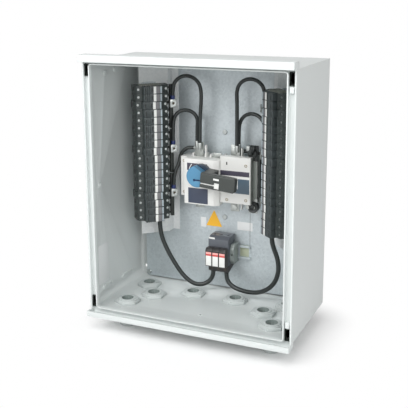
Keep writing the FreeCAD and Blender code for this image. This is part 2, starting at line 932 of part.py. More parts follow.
def isolator_mechanism():
    """Raised housing for the spring drive, in front of the left poles."""
    y_back = plate_front - poles_front
    y_front = plate_front - mech_front
    right = cover_left_x
    profile = [
        V(mech_left_x, y_back, mech_low),
        V(mech_left_x, y_front + mech_step_drop, mech_low),
        V(mech_left_x + mech_step, y_front + mech_step_drop, mech_low),
        V(mech_left_x + mech_step, y_front, mech_low),
        V(right - mech_bevel, y_front, mech_low),
        V(right, y_front + mech_bevel_drop, mech_low),
        V(right, y_back, mech_low),
    ]
    housing = prism(profile, V(0, 0, mech_high - mech_low))
    notch = box(
        mech_left_x - 1,
        mech_left_x + mech_step,
        y_front - 1,
        y_back + 1,
        mech_low - 1,
        mech_low + mech_step_height,
    )
    leg_low = max(mech_low + mech_step_height, poles_low)
    leg = box(mech_left_x, poles_left_x, y_back, plate_front, leg_low, mech_high)
    return housing.cut(notch).fuse(leg).removeSplitter()


def terminal_bar_y():
    """The front of the terminals' bars."""
    return plate_front - terminal_depth


def isolator_terminal(i, top):
    """Tinned bar out of a pole: a short stub, a bar for the link, or a bar with its bolt."""
    x = pole_x(i)
    y = terminal_bar_y()
    way = 1 if top else -1
    root = poles_high if top else poles_low
    length = terminal_length if i in cabled_poles or i == pole_count - 1 else terminal_stub
    z0, z1 = sorted((root, root + way * length))
    bar = box(x - terminal_width / 2, x + terminal_width / 2, y, y + terminal_thick, z0, z1)
    if i not in cabled_poles:
        return bar
    bolt = hexagon(terminal_bolt_hex, V(0, 0, 0), terminal_bolt_head)
    bolt.rotate(V(0, 0, 0), V(1, 0, 0), 90)
    middle = V(x, y, root + terminal_bolt_rise if top else root - terminal_bolt_drop)
    bolt.translate(middle)
    washer = rod(terminal_washer / 2, middle, middle - V(0, terminal_washer_thick, 0))
    return bar.fuse([bolt, washer])


def cable_lug(end, way, plate_y):
    """Crimped ring lug: a plate at plate_y and a barrel that ends at end."""
    radius = cable_lug_diameter / 2
    barrel = rod(radius, end - way * cable_lug_length, end)
    root = end - way * (cable_lug_length * 2)
    across = V(way.z, 0, way.x) * radius
    corners = [root - across, end - way * cable_lug_length * 0.6 - across]
    corners += [end - way * cable_lug_length * 0.6 + across, root + across]
    flat = [V(p.x, plate_y, p.z) for p in corners]
    return [barrel, prism(flat, V(0, cable_lug_plate, 0))]


def link_lug_end(top):
    """Where a boot of the link starts, beside the last pole's bar."""
    x = pole_x(pole_count - 1) - terminal_width / 4
    y = terminal_bar_y() - link_boot_gap - link_boot_diameter / 2
    return V(x, y, poles_high + link_rise if top else poles_low - link_drop)


def isolator_terminals():
    up = V(0, 0, 1)
    left = V(-1, 0, 0)
    y = terminal_bar_y()
    bars = {}
    for i in range(pole_count):
        for top in (True, False):
            bars[i, top] = isolator_terminal(i, top)
    left_pole, right_pole = cabled_poles
    lugs = {left_pole: [], right_pole: []}
    lugs[left_pole] += cable_lug(V(*left_cables[0][-1]), up, y - cable_lug_plate)
    lugs[left_pole] += cable_lug(V(*left_cables[1][-1]), up, y + terminal_thick)
    lugs[left_pole] += cable_lug(V(*left_cables[2][-1]), left, y + terminal_thick)
    lugs[right_pole] += cable_lug(V(*right_cables[0][-1]), up, y - cable_lug_plate)
    lugs[right_pole] += cable_lug(V(*right_cables[1][-1]), up, y + terminal_thick)
    lugs[right_pole] += cable_lug(V(*right_cables[2][-1]), -left, y + terminal_thick)
    for i, pieces in lugs.items():
        bars[i, True] = bars[i, True].fuse(pieces)
    for top in (True, False):
        end = link_lug_end(top)
        r = cable_lug_diameter / 2
        tongue = box(end.x - cable_lug_length / 2, end.x, end.y - r, y, end.z - r, end.z + r)
        bars[pole_count - 1, top] = bars[pole_count - 1, top].fuse(tongue)
    return Part.makeCompound([bar.removeSplitter() for bar in bars.values()])


def link_boots():
    """Moulded elbows over the lugs of the link at the isolator's right side."""
    boots = []
    for top in (True, False):
        start = link_lug_end(top)
        way = V(0, 0, -1 if top else 1)
        bend = V(link_x, start.y, start.z)
        a = bend - V(link_boot_bend, 0, 0)
        b = bend + way * link_boot_bend
        centre = a + way * link_boot_bend
        mid = centre + (V(1, 0, 0) - way) * (link_boot_bend / math.sqrt(2))
        edges = [Part.LineSegment(start, a).toShape(), Part.Arc(a, mid, b).toShape()]
        edges.append(Part.LineSegment(b, b + way * link_boot_end).toShape())
        circle = Part.Wire([Part.Circle(start, V(1, 0, 0), link_boot_diameter / 2).toShape()])
        boots.append(Part.Wire(edges).makePipeShell([circle], True, False))
    return boots


def link_ends():
    top = link_lug_end(True)
    low = link_lug_end(False)
    drop = link_boot_bend + link_boot_end
    return V(link_x, top.y, top.z - drop), V(link_x, low.y, low.z + drop)


def hub_front():
    return plate_front - mech_front - hub_gap - hub_stem_length - hub_height


def hub_rod(radius, low_y, high_y):
    return rod(radius, V(hub_x, low_y, hub_z), V(hub_x, high_y, hub_z))


def isolator_hub():
    """Blue cap with a key slot in its face, on a stem out of the drive."""
    y0 = hub_front()
    y1 = y0 + hub_height
    cap = hub_rod(hub_diameter / 2, y0, y1)
    cap = cap.makeFillet(2.5, upright_edges(cap, lambda p: abs(p.y - y0) < 0.01))
    stem = hub_rod(hub_stem_diameter / 2, y1, y1 + hub_stem_length)
    z = hub_z - handle_slot_drop
    x = hub_x + hub_eye_x
    half = hub_slot_width / 2
    slot = box(x, hub_x + hub_diameter, y0 - 1, y0 + hub_slot_depth, z - half, z + half)
    eye = rod(hub_slot_width * 0.9, V(x, y0 - 1, z), V(x, y0 + hub_slot_depth, z))
    return cap.fuse(stem).cut([slot, eye]).removeSplitter()


def isolator_handle():
    """Dark grip: collar about the hub's stem, neck beside its cap, fork and solid end."""
    cap_back = hub_front() + hub_height + handle_hub_gap
    collar_back = hub_front() + hub_height + hub_stem_length
    y1 = hub_front() - handle_hub_gap
    y0 = y1 - handle_thick
    radius = hub_diameter / 2
    start = hub_x + handle_start
    end = hub_x + handle_length
    half = handle_width / 2
    collar = hub_rod(radius, cap_back, collar_back)
    neck = box(
        hub_x,
        hub_x + radius + handle_hub_gap + handle_neck,
        y0 + handle_thick / 2,
        collar_back,
        hub_z - half,
        hub_z + half,
    )
    bar = box(start, end, y0, y1, hub_z - half, hub_z + half)
    corners = [e for e in bar.Edges if abs(e.tangentAt(e.FirstParameter).y) > 0.9 and e.CenterOfMass.x > end - 1]
    bar = bar.makeFillet(5.0, corners)
    front = [e for e in bar.Edges if abs(e.CenterOfMass.y - y0) < 0.01 and e.CenterOfMass.x > start + 1]
    bar = bar.makeFillet(2.0, front)
    cap_space = hub_rod(radius + handle_hub_gap, y1, cap_back)
    trim = box(hub_x - radius * 2, start, y0 - 1, y1, hub_z - radius * 2, hub_z + radius * 2)
    stem_hole = hub_rod(hub_stem_diameter / 2 + handle_hub_gap, cap_back - 1, collar_back + 1)
    z = hub_z - handle_slot_drop
    slot = box(
        start - 1,
        hub_x + handle_window_to,
        y0 - 1,
        y1,
        z - handle_slot_height / 2,
        z + handle_slot_height / 2,
    )
    window = box(
        hub_x + handle_window_from,
        hub_x + handle_window_to,
        y0 - 1,
        y1 + 1,
        z + handle_window_rise - handle_window_height,
        z + handle_window_rise,
    )
    shape = collar.fuse([neck, bar]).cut([cap_space, trim, stem_hole, slot, window]).removeSplitter()
    shape.rotate(V(hub_x, 0, hub_z), V(0, 1, 0), handle_tilt)
    return shape


# Surge arrester
def arrester_middle():
    return arrester_low + arrester_height / 2


def arrester_rail():
    """Short top-hat rail across the plate, its open side to the plate."""
    half = rail_width / 2
    web = half - rail_lip
    t = rail_sheet
    h = rail_height
    outline = [
        (0, -web - t / 2),
        (0, web + t / 2),
        (h - t, web + t / 2),
        (h - t, half),
        (h, half),
        (h, web - t / 2),
        (t, web - t / 2),
        (t, -web + t / 2),
        (h, -web + t / 2),
        (h, -half),
        (h - t, -half),
        (h - t, -web - t / 2),
    ]
    points = [V(arrester_rail_x0, plate_front - d, arrester_middle() + z) for d, z in outline]
    return prism(points, V(arrester_rail_x1 - arrester_rail_x0, 0, 0))


def arrester_base():
    """Base part with a well for each plug's stem and funnels for its wires."""
    high = arrester_high
    y_back = plate_front - arrester_foot
    y_shoulder = plate_front - arrester_shoulder
    clip = plate_front - rail_height - 0.3
    half = rail_width / 2 + 0.3
    middle = arrester_middle()
    plug_low = arrester_low + plug_low_inset
    plug_high = plug_low + plug_height
    well_y = y_shoulder + arrester_well_floor
    outline = [
        (y_back, arrester_low + 12),
        (y_back, middle - half),
        (clip, middle - half),
        (clip, middle + half),
        (y_back, middle + half),
        (y_back, high),
        (y_shoulder + 12, high),
        (y_shoulder, high - 7),
        (y_shoulder, arrester_low + 4),
        (y_shoulder + 4, arrester_low),
    ]
    x0 = arrester_left_x
    width = arrester_count * arrester_module
    base = prism([V(x0, y, z) for y, z in outline], V(width, 0, 0))
    cuts = []
    for i in range(arrester_count):
        x = x0 + (i + 0.5) * arrester_module
        stem = plug_stem_width / 2 + plug_gap
        mid = (plug_low + plug_high) / 2
        tall = plug_stem_height / 2 + plug_gap
        cuts.append(box(x - stem, x + stem, y_shoulder - 1, well_y, mid - tall, mid + tall))
        for z, way in ((arrester_low, 1), (high, -1)):
            y = y_shoulder + funnel_from_shoulder + (0 if way > 0 else 12)
            cuts.append(rod(funnel_radius, V(x, y, z - way), V(x, y, z + way * funnel_depth)))
    return base.cut(cuts)


def arrester_plug(i):
    """Plug-in module: a flat head over the base, its stem in the well."""
    x0 = arrester_left_x + i * arrester_module + plug_gap / 2
    x1 = x0 + arrester_module - plug_gap
    low = arrester_low + plug_low_inset
    high = low + plug_height
    back = plate_front - arrester_shoulder - plug_gap
    front = plate_front - plug_front
    outline = [
        V(x0, back, low),
        V(x0, front + 1.5, low),
        V(x0, front, low + 1.5),
        V(x0, front, high - 5),
        V(x0, front + 5, high),
        V(x0, back, high),
    ]
    head = prism(outline, V(x1 - x0, 0, 0))
    x = (x0 + x1) / 2
    mid = (low + high) / 2
    stem = box(
        x - plug_stem_width / 2,
        x + plug_stem_width / 2,
        back - 1,
        plate_front - arrester_shoulder + arrester_well_floor - plug_gap,
        mid - plug_stem_height / 2,
        mid + plug_stem_height / 2,
    )
    return head.fuse(stem).removeSplitter()


def end_clamp():
    """Screw-on bracket that holds the arrester on its rail."""
    x0 = arrester_left_x + arrester_count * arrester_module + 0.3
    x1 = x0 + clamp_width
    middle = arrester_middle()
    half = rail_width / 2 + 0.3
    low = middle - clamp_height / 2
    high = middle + clamp_height / 2
    y_back = plate_front - arrester_foot
    y_front = plate_front - clamp_front
    clip = plate_front - rail_height - 0.3
    outline = [
        (y_back, low),
        (y_back, middle - half),
        (clip, middle - half),
        (clip, middle + half),
        (y_back, middle + half),
        (y_back, high),
        (y_front + 8, high),
        (y_front, high - 10),
        (y_front, low + 10),
        (y_front + 8, low),
    ]
    body = prism([V(x0, y, z) for y, z in outline], V(x1 - x0, 0, 0))
    x = (x0 + x1) / 2
    return body.cut(rod(2.6, V(x, y_front - 1, middle), V(x, y_front + 9, middle)))


# Cables
def bent_path(points):
    """Straight runs joined by tangent arcs; returns the wire and its radii."""
    edges = []
    radii = []
    start = points[0]
    for i in range(1, len(points) - 1):
        before = points[i] - points[i - 1]
        after = points[i + 1] - points[i]
        turn = before.getAngle(after)
        shorter = min(before.Length, after.Length)
        trim = 0.45 * shorter
        radii.append(trim / math.tan(turn / 2))
        arc_in = points[i] - before * (trim / before.Length)
        arc_out = points[i] + after * (trim / after.Length)
        centre_way = (after * (1 / after.Length) - before * (1 / before.Length)).normalize()
        to_centre = radii[-1] / math.cos(turn / 2)
        mid = points[i] + centre_way * (to_centre - radii[-1])
        edges.append(Part.LineSegment(start, arc_in).toShape())
        edges.append(Part.Arc(arc_in, mid, arc_out).toShape())
        start = arc_out
    edges.append(Part.LineSegment(start, points[-1]).toShape())
    return Part.Wire(edges), radii


def cable(name, points, diameter):
    path, radii = bent_path([V(*p) for p in points])
    first = path.Edges[0]
    way = first.tangentAt(first.FirstParameter)
    circle = Part.Wire([Part.Circle(V(*points[0]), way, diameter / 2).toShape()])
    tube = path.makePipeShell([circle], True, False)
    expected = math.pi * diameter**2 / 4 * path.Length
    print(
        "cable %s: length %.1f, tightest radius %.1f (%.1f diameters), volume over section %.4f"
        % (name, path.Length, min(radii), min(radii) / diameter, tube.Volume / expected)
    )
    return tube


def cables():
    tubes = []
    for side, group in (("left", left_cables), ("right", right_cables)):
        for i, points in enumerate(group):
            tubes.append(cable("%s %d" % (side, i + 1), points, string_cable))
    for side, points in zip(("left", "right"), arrester_cables):
        tubes.append(cable("arrester " + side, points, arrester_cable))
    top, low = link_ends()
    tubes.append(rod(string_cable / 2, top, low))
    return Part.makeCompound(tubes + link_boots())


os.makedirs("parts", exist_ok=True)

left_bases = [fuse_base(row) for row in range(fuse_rows)]
left_levers = [fuse_lever(row) for row in range(fuse_rows)]
combs = [comb_busbar(group) for group in range(fuse_rows // rows_per_comb)]
lugs = [feed_lug(group) for group in range(fuse_rows // rows_per_comb)]
bracket = bank_bracket()
rail = bank_rail()

save("enclosure", enclosure())
save("mounting_plate", mounting_plate())
save("plate_screws", plate_screws())
save("bank_brackets", Part.makeCompound([bracket, mirror(bracket)]))
save("bank_rails", Part.makeCompound([rail, mirror(rail)]))
save("fuse_bases_left", Part.makeCompound(left_bases))
save("fuse_bases_right", Part.makeCompound([mirror(base) for base in left_bases]))
save("comb_busbars", Part.makeCompound(combs + [mirror(comb) for comb in combs]))
save("feed_lugs", Part.makeCompound(lugs + [mirror(lug) for lug in lugs]))
for row, lever in enumerate(left_levers):
    save("fuse_lever_left_%02d" % (row + 1), lever)
    save("fuse_lever_right_%02d" % (row + 1), mirror(lever))
save("isolator_base", isolator_poles())
save("isolator_housing", isolator_mechanism())
save("isolator_terminals", isolator_terminals())
save("isolator_hub", isolator_hub())
save("isolator_handle", isolator_handle())
save("arrester_rail", arrester_rail())
save("arrester_base", arrester_base())
for i in range(arrester_count):
    save("arrester_plug_%d" % (i + 1), arrester_plug(i))
save("end_clamp", end_clamp())
save("gland_bodies", Part.makeCompound([gland_body(x, y) for x, y in gland_places]))
save("gland_seals", Part.makeCompound([gland_seal(x, y) for x, y in gland_places]))
save("gland_nuts", Part.makeCompound([gland_nut(x, y) for x, y in gland_places]))
save("cables", cables())
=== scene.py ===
# %% [markdown]
# # A string junction box, dressed for its picture
# A solar roof's cables come together in a box like this one: two banks of fuse
# holders, an isolator switch, a surge arrester and the cables between them.
# The pieces arrive as a finished engineering model with true sizes. This lesson
# gives them their looks: softened edges, small trims, real finishes, and light.
# The scene is in metres, X to the right, Y into the box and Z up.

# %% Load the model
import json
import math

import bpy
from mathutils import Matrix, Vector

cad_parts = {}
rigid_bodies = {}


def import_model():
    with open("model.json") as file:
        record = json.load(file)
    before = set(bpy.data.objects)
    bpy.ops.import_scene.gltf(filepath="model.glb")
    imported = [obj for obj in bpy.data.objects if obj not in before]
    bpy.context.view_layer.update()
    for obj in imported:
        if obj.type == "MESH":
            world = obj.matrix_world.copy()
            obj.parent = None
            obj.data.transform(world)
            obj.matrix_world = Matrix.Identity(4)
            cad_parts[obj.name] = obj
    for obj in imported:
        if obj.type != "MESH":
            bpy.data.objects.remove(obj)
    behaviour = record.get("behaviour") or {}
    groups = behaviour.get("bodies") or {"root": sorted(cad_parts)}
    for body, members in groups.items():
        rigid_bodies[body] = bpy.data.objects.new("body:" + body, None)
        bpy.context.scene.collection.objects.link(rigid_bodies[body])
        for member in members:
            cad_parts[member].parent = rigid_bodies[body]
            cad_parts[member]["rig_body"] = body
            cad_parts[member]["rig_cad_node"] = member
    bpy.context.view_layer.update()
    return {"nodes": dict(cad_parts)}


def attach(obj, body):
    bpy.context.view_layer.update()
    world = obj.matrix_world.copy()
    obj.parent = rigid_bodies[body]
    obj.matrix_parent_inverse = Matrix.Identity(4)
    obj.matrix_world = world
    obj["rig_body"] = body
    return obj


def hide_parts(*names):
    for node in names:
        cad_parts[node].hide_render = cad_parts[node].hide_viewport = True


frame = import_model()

nodes = frame["nodes"]

# %% [markdown]
# ## The camera
# The picture was taken from the right of the box and a little above it, with a
# fairly long lens. The camera's place and turn were worked out from the box's
# straight edges. Aiming it at an empty with a constraint would leave no room for
# the slight roll. So its three axes are written as the columns of a matrix,
# which is the surest way to give a camera an exact turn.

# %% Camera
CAMERA_PLACE = Vector((0.7154, -1.6589, 0.8186))
CAMERA_YAW = math.radians(24.6)
CAMERA_PITCH = math.radians(12.63)
CAMERA_ROLL = math.radians(-0.47)
CAMERA_LENS = 70.72
CAMERA_SENSOR = 36.0
CAMERA_SHIFT = (0.0375, -0.1078)


def aimed_camera():
    """A camera that looks along +Y turned by the yaw, and down by the pitch."""
    data = bpy.data.cameras.new("camera")
    data.lens = CAMERA_LENS
    data.sensor_width = CAMERA_SENSOR
    data.shift_x, data.shift_y = CAMERA_SHIFT
    forward = Vector((
        -math.sin(CAMERA_YAW) * math.cos(CAMERA_PITCH),
        math.cos(CAMERA_YAW) * math.cos(CAMERA_PITCH),
        -math.sin(CAMERA_PITCH),
    ))
    level = Vector((math.cos(CAMERA_YAW), math.sin(CAMERA_YAW), 0.0))
    upright = level.cross(forward)
    right = level * math.cos(CAMERA_ROLL) + upright * math.sin(CAMERA_ROLL)
    up = upright * math.cos(CAMERA_ROLL) - level * math.sin(CAMERA_ROLL)
    turn = Matrix((right, up, -forward)).transposed().to_4x4()
    camera = bpy.data.objects.new("camera", data)
    camera.matrix_world = Matrix.Translation(CAMERA_PLACE) @ turn
    bpy.context.scene.collection.objects.link(camera)
    bpy.context.scene.camera = camera
    return camera


camera = aimed_camera()
print("camera at", [round(c, 3) for c in camera.matrix_world.translation])

# %% [markdown]
# ## Helpers for modelling
# An operator works on everything that is selected, so each step starts from a
# clean selection. A finished piece keeps its place in its mesh, with its object
# at the origin, so that every pattern on it stays where it belongs. A piece's
# sizes and places are written in millimetres, as on a drawing, and MM turns
# them into metres. The floor, the lamps and the camera are in metres.

# %% Helpers
MM = 0.001
QUARTER_TURN = math.radians(90)


def metres(*numbers):
    """Millimetres, as drawn, in the scene's metres."""
    return tuple(n * MM for n in numbers)


def deselect():
    bpy.ops.object.select_all(action="DESELECT")


def only(piece):
    """Selects one piece and makes it the active one."""
    deselect()
    piece.select_set(True)
    bpy.context.view_layer.objects.active = piece


def place_in_mesh(piece):
    only(piece)
    bpy.ops.object.transform_apply(location=True, rotation=True, scale=True)


def edit_all(piece):
    """Opens one piece in edit mode with everything on it selected."""
    only(piece)
    bpy.ops.object.mode_set(mode="EDIT")
    bpy.ops.mesh.select_all(action="SELECT")


def leave_edit():
    bpy.ops.object.mode_set(mode="OBJECT")


def apply_modifier(piece, kind, **settings):
    modifier = piece.modifiers.new(kind.lower(), kind)
    for key, value in settings.items():
        setattr(modifier, key, value)
    only(piece)
    bpy.ops.object.modifier_apply(modifier=modifier.name)


def round_edges(piece, width, segments=2, angle=30.0):
    """A bevel of that width in millimetres on every edge sharper than the angle."""
    apply_modifier(
        piece,
        "BEVEL",
        width=width * MM,
        segments=segments,
        limit_method="ANGLE",
        angle_limit=math.radians(angle),
        use_clamp_overlap=False,
        loop_slide=False,
    )


def smooth(piece, angle=32.0):
    only(piece)
    bpy.ops.object.shade_smooth_by_angle(angle=math.radians(angle))


def paint(piece, *materials):
    piece.data.materials.clear()
    for material in materials:
        piece.data.materials.append(material)


def block(name, low, high, soft=0.3, segments=2):
    """A block between two corners in millimetres, with soft edges."""
    deselect()
    size = [b - a for a, b in zip(low, high)]
    middle = [(a + b) / 2 for a, b in zip(low, high)]
    bpy.ops.mesh.primitive_cube_add(size=1, location=metres(*middle), scale=metres(*size))
    piece = bpy.context.object
    piece.name = name
    place_in_mesh(piece)
    if soft:
        edit_all(piece)
        bpy.ops.mesh.bevel(offset=soft * MM, segments=segments, affect="EDGES")
        leave_edit()
    smooth(piece)
    return piece


def cylinder(name, vertices, radius, depth, middle, upright=False, ends="NGON"):
    """A cylinder that lies along Y, or along Z where it is upright."""
    deselect()
    bpy.ops.mesh.primitive_cylinder_add(
        vertices=vertices,
        radius=radius * MM,
        depth=depth * MM,
        end_fill_type=ends,
        location=metres(*middle),
        rotation=(0 if upright else QUARTER_TURN, 0, 0),
    )
    piece = bpy.context.object
    piece.name = name
    place_in_mesh(piece)
    return piece


def joined(name, pieces):
    """One piece from several, with all their materials."""
    deselect()
    for piece in pieces:
        piece.select_set(True)
    bpy.context.view_layer.objects.active = pieces[0]
    if len(pieces) > 1:
        bpy.ops.object.join()
    whole = bpy.context.view_layer.objects.active
    whole.name = name
    whole.data.name = name
    return whole


def copy_of(piece, name, move):
    """A copy with its own mesh, moved by millimetres."""
    twin = piece.copy()
    twin.data = piece.data.copy()
    twin.name = name
    twin.data.name = name
    bpy.context.scene.collection.objects.link(twin)
    twin.data.transform(Matrix.Translation(metres(*move)))
    return twin


def remove(*pieces):
    for piece in pieces:
        bpy.data.objects.remove(piece)


def extent(piece):
    """The low and high corner of a piece's box, in millimetres, to print."""
    return [[round(v / MM, 1) for v in piece.bound_box[i]] for i in (0, 6)]


def done(piece, body, slot, *replaced):
    """Gives a finished piece its body, and hides what it replaces."""
    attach(piece, body)
    if replaced:
        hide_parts(*replaced)
    return piece


# %% [markdown]
# ## The cables
# Each cable is a copper core in a stiff black sheath, which bends only gently. A
# path of cylinders would show its joints, so each one is a smooth curve led by
# the points of its route. Its thickness is a bevel one metre deep, scaled at
# each point by the cable's true radius, which also keeps the curve's own box
# small. The points are the ones that the engineering model uses, so the cable
# starts and ends in its own clamp. Three cables rise from each bank and loop
# over to the isolator, and one goes from the foot of each bank to the surge
# arrester. A short link joins the isolator's last pole above to the same pole
# below.

# %% Cables
STRING_CABLE = 9.0
ARRESTER_CABLE = 11.0
FEED = (-117.48, 70.18)
FOOT = (-145.94, 47.24)
RIGHT_FEED = (-FEED[0], FEED[1])
RIGHT_FOOT = (-FOOT[0], FOOT[1])

# Routes in millimetres
left_1 = [
    (*FEED, 539.75),
    (*FEED, 572.7),
    (-103.2, 71.2, 591.6),
    (-81.0, 72.2, 598.9),
    (-58.7, 73.6, 591.6),
    (-45.0, 75.0, 572.7),
    (-44.5, 76.3, 537.0),
    (-49.5, 78.0, 492.0),
    (-49.5, 78.0, 436.0),
]
left_2 = [
    (*FEED, 428.75),
    (*FEED, 462.0),
    (-117.0, 73.5, 493.4),
    (-106.0, 77.0, 508.6),
    (-88.0, 81.0, 514.5),
    (-70.0, 85.0, 508.6),
    (-59.0, 87.5, 493.4),
    (-62.0, 90.0, 468.0),
    (-62.0, 90.0, 438.0),
]
left_3 = [
    (*FEED, 317.75),
    (*FEED, 352.0),
    (-107.5, 84.0, 382.0),
    (-106.5, 87.5, 399.0),
    (-98.5, 88.0, 412.0),
    (-84.5, 90.5, 420.0),
    (-70.0, 90.5, 420.0),
]
right_1 = [
    (*RIGHT_FEED, 539.75),
    (*RIGHT_FEED, 572.1),
    (103.6, 71.2, 591.0),
    (81.5, 72.2, 598.0),
    (59.4, 73.6, 591.0),
    (45.7, 75.0, 572.1),
    (46.6, 76.3, 536.0),
    (46.0, 78.0, 492.0),
    (46.0, 78.0, 436.0),
]
right_2 = [
    (*RIGHT_FEED, 428.75),
    (*RIGHT_FEED, 460.0),
    (117.7, 73.5, 490.3),
    (104.4, 77.0, 508.6),
    (82.9, 81.5, 515.6),
    (61.4, 86.0, 508.6),
    (48.1, 89.5, 490.3),
    (46.0, 90.5, 468.0),
    (46.0, 90.5, 438.0),
]
right_3 = [
    (*RIGHT_FEED, 317.75),
    (*RIGHT_FEED, 352.0),
    (111.0, 87.0, 382.0),
    (109.5, 94.0, 400.5),
    (102.0, 97.0, 413.0),
    (89.0, 98.2, 419.7),
    (74.0, 97.3, 420.0),
    (58.0, 97.3, 420.0),
]
arrester_left = [
    (*FOOT, 243.7),
    (*FOOT, 211.6),
    (-133.0, 50.4, 170.8),
    (-112.0, 55.7, 130.7),
    (-90.0, 61.2, 97.0),
    (-68.7, 66.6, 78.9),
    (-52.0, 70.5, 75.0),
    (-35.6, 74.5, 78.4),
    (-22.8, 77.7, 88.3),
    (-15.65, 79.5, 102.9),
    (-15.65, 79.5, 116.0),
]
arrester_right = [
    (*RIGHT_FOOT, 243.7),
    (*RIGHT_FOOT, 226.9),
    (150.0, 47.6, 207.2),
    (161.0, 48.4, 181.0),
    (164.0, 50.4, 150.4),
    (154.0, 53.8, 117.3),
    (133.0, 59.0, 94.0),
    (108.0, 64.5, 80.5),
    (82.0, 70.0, 75.5),
    (57.0, 75.0, 76.0),
    (39.6, 77.6, 79.5),
    (26.1, 79.0, 88.0),
    (19.35, 79.5, 102.0),
    (19.35, 79.5, 116.0),
]
link_route = [(103.5, 78.7, 417.0), (103.5, 78.7, 361.0), (103.5, 78.7, 305.0)]


def cable(name, route, diameter):
    """One cable as a NURBS curve, its route's points as control points. In millimetres."""
    curve = bpy.data.curves.new(name, "CURVE")
    curve.dimensions = "3D"
    curve.resolution_u = 12
    curve.bevel_depth = 1.0
    curve.bevel_resolution = 5
    curve.use_fill_caps = True
    line = curve.splines.new("NURBS")
    line.points.add(len(route) - 1)
    for point, place in zip(line.points, route):
        point.co = (*metres(*place), 1.0)
        point.radius = diameter / 2 * MM
    line.order_u = 3
    line.use_endpoint_u = True
    piece = bpy.data.objects.new(name, curve)
    bpy.context.scene.collection.objects.link(piece)
    return done(piece, "box", "cable", "cables")


cables = [
    cable("cable_left_1", left_1, STRING_CABLE),
    cable("cable_left_2", left_2, STRING_CABLE),
    cable("cable_left_3", left_3, STRING_CABLE),
    cable("cable_right_1", right_1, STRING_CABLE),
    cable("cable_right_2", right_2, STRING_CABLE),
    cable("cable_right_3", right_3, STRING_CABLE),
    cable("cable_arrester_left", arrester_left, ARRESTER_CABLE),
    cable("cable_arrester_right", arrester_right, ARRESTER_CABLE),
    cable("cable_link", link_route, STRING_CABLE),
]
print(len(cables), "cables")

# %% [markdown]
# ## Floor and world
# The box stands on a pale studio floor. Near the box the floor is a plain matt
# surface, so it takes the soft shadow. A floor that stays matt to its edge would
# end in a grey line, so its distance from the box's footprint fades it, within
# a hand's breadth, into the same white as the background. The world is white to
# the camera and to reflections, and dimmer as a light, so that the lamps still
# shape the box.

# %% Floor and world
FLOOR_SIZE = 12.0
# Half of the box's footprint, from its middle, in metres
FOOTPRINT = (0.20, 0.13, 0.0)
FADE_END = 0.14
FLOOR_WHITE = (0.98, 0.98, 0.98, 1.0)
WORLD_LIGHT = 0.35


def link(tree, source, target):
    tree.links.new(source, target)


def new_node(tree, kind, operation=None, second=None):
    """A shader node of that kind. second is the fixed value of its second input."""
    node = tree.nodes.new("ShaderNode" + kind)
    if operation:
        node.operation = operation
    if second is not None:
        node.inputs[1].default_value = second
    return node


def seen_directly(tree):
    """1 for camera, glossy and transmission rays, and 0 for light on surfaces."""
    path = new_node(tree, "LightPath")
    first = new_node(tree, "Math", "MAXIMUM")
    second = new_node(tree, "Math", "MAXIMUM")
    link(tree, path.outputs["Is Camera Ray"], first.inputs[0])
    link(tree, path.outputs["Is Glossy Ray"], first.inputs[1])
    link(tree, first.outputs[0], second.inputs[0])
    link(tree, path.outputs["Is Transmission Ray"], second.inputs[1])
    return second.outputs[0]


def mixed(tree, kind, amount, first, second):
    """Sends a mix of two shaders to the output of a world or a material."""
    mix = new_node(tree, "MixShader")
    output = new_node(tree, kind)
    link(tree, amount, mix.inputs["Fac"])
    link(tree, first.outputs[0], mix.inputs[1])
    link(tree, second.outputs[0], mix.inputs[2])
    link(tree, mix.outputs[0], output.inputs["Surface"])


def white_background(tree, strength):
    background = new_node(tree, "Background")
    background.inputs["Color"].default_value = (1.0, 1.0, 1.0, 1.0)
    background.inputs["Strength"].default_value = strength
    return background


def white_world():
    world = bpy.data.worlds.new("studio")
    bpy.context.scene.world = world
    world.use_nodes = True
    tree = world.node_tree
    tree.nodes.clear()
    lighting = white_background(tree, WORLD_LIGHT)
    shown = white_background(tree, 1.0)
    mixed(tree, "OutputWorld", seen_directly(tree), lighting, shown)


def floor_material():
    """Matt white near the box, and plain white to the camera farther off."""
    material = bpy.data.materials.new("studio_floor")
    material.use_nodes = True
    tree = material.node_tree
    tree.nodes.clear()
    place = new_node(tree, "TexCoord")
    size = new_node(tree, "VectorMath", "ABSOLUTE")
    outside = new_node(tree, "VectorMath", "SUBTRACT", FOOTPRINT)
    beyond = new_node(tree, "VectorMath", "MAXIMUM")
    distance = new_node(tree, "VectorMath", "LENGTH")
    fade = new_node(tree, "MapRange")
    fade.interpolation_type = "SMOOTHSTEP"
    fade.inputs["From Max"].default_value = FADE_END
    far_and_seen = new_node(tree, "Math", "MULTIPLY")
    matt = new_node(tree, "BsdfDiffuse")
    matt.inputs["Color"].default_value = FLOOR_WHITE
    white = new_node(tree, "Emission")
    link(tree, place.outputs["Object"], size.inputs[0])
    link(tree, size.outputs["Vector"], outside.inputs[0])
    link(tree, outside.outputs["Vector"], beyond.inputs[0])
    link(tree, beyond.outputs["Vector"], distance.inputs[0])
    link(tree, distance.outputs["Value"], fade.inputs["Value"])
    link(tree, fade.outputs[0], far_and_seen.inputs[0])
    link(tree, seen_directly(tree), far_and_seen.inputs[1])
    mixed(tree, "OutputMaterial", far_and_seen.outputs[0], matt, white)
    return material


def studio_floor():
    deselect()
    bpy.ops.mesh.primitive_plane_add(size=FLOOR_SIZE, location=(0, 0, 0))
    floor = bpy.context.object
    floor.name = "studio_floor"
    paint(floor, floor_material())


white_world()
studio_floor()
print("floor", FLOOR_SIZE, "m wide")

# %% [markdown]
# ## Lamps
# A picture like this one is lit by large soft boxes, which give long, soft
# shadows and broad, pale reflections on the mouldings. A point or a sun lamp
# would draw hard ones. So three square area lamps face the middle of the box:
# the key from the left, a fill from the right, and a weaker one from above,
# which lights the floor of the case.

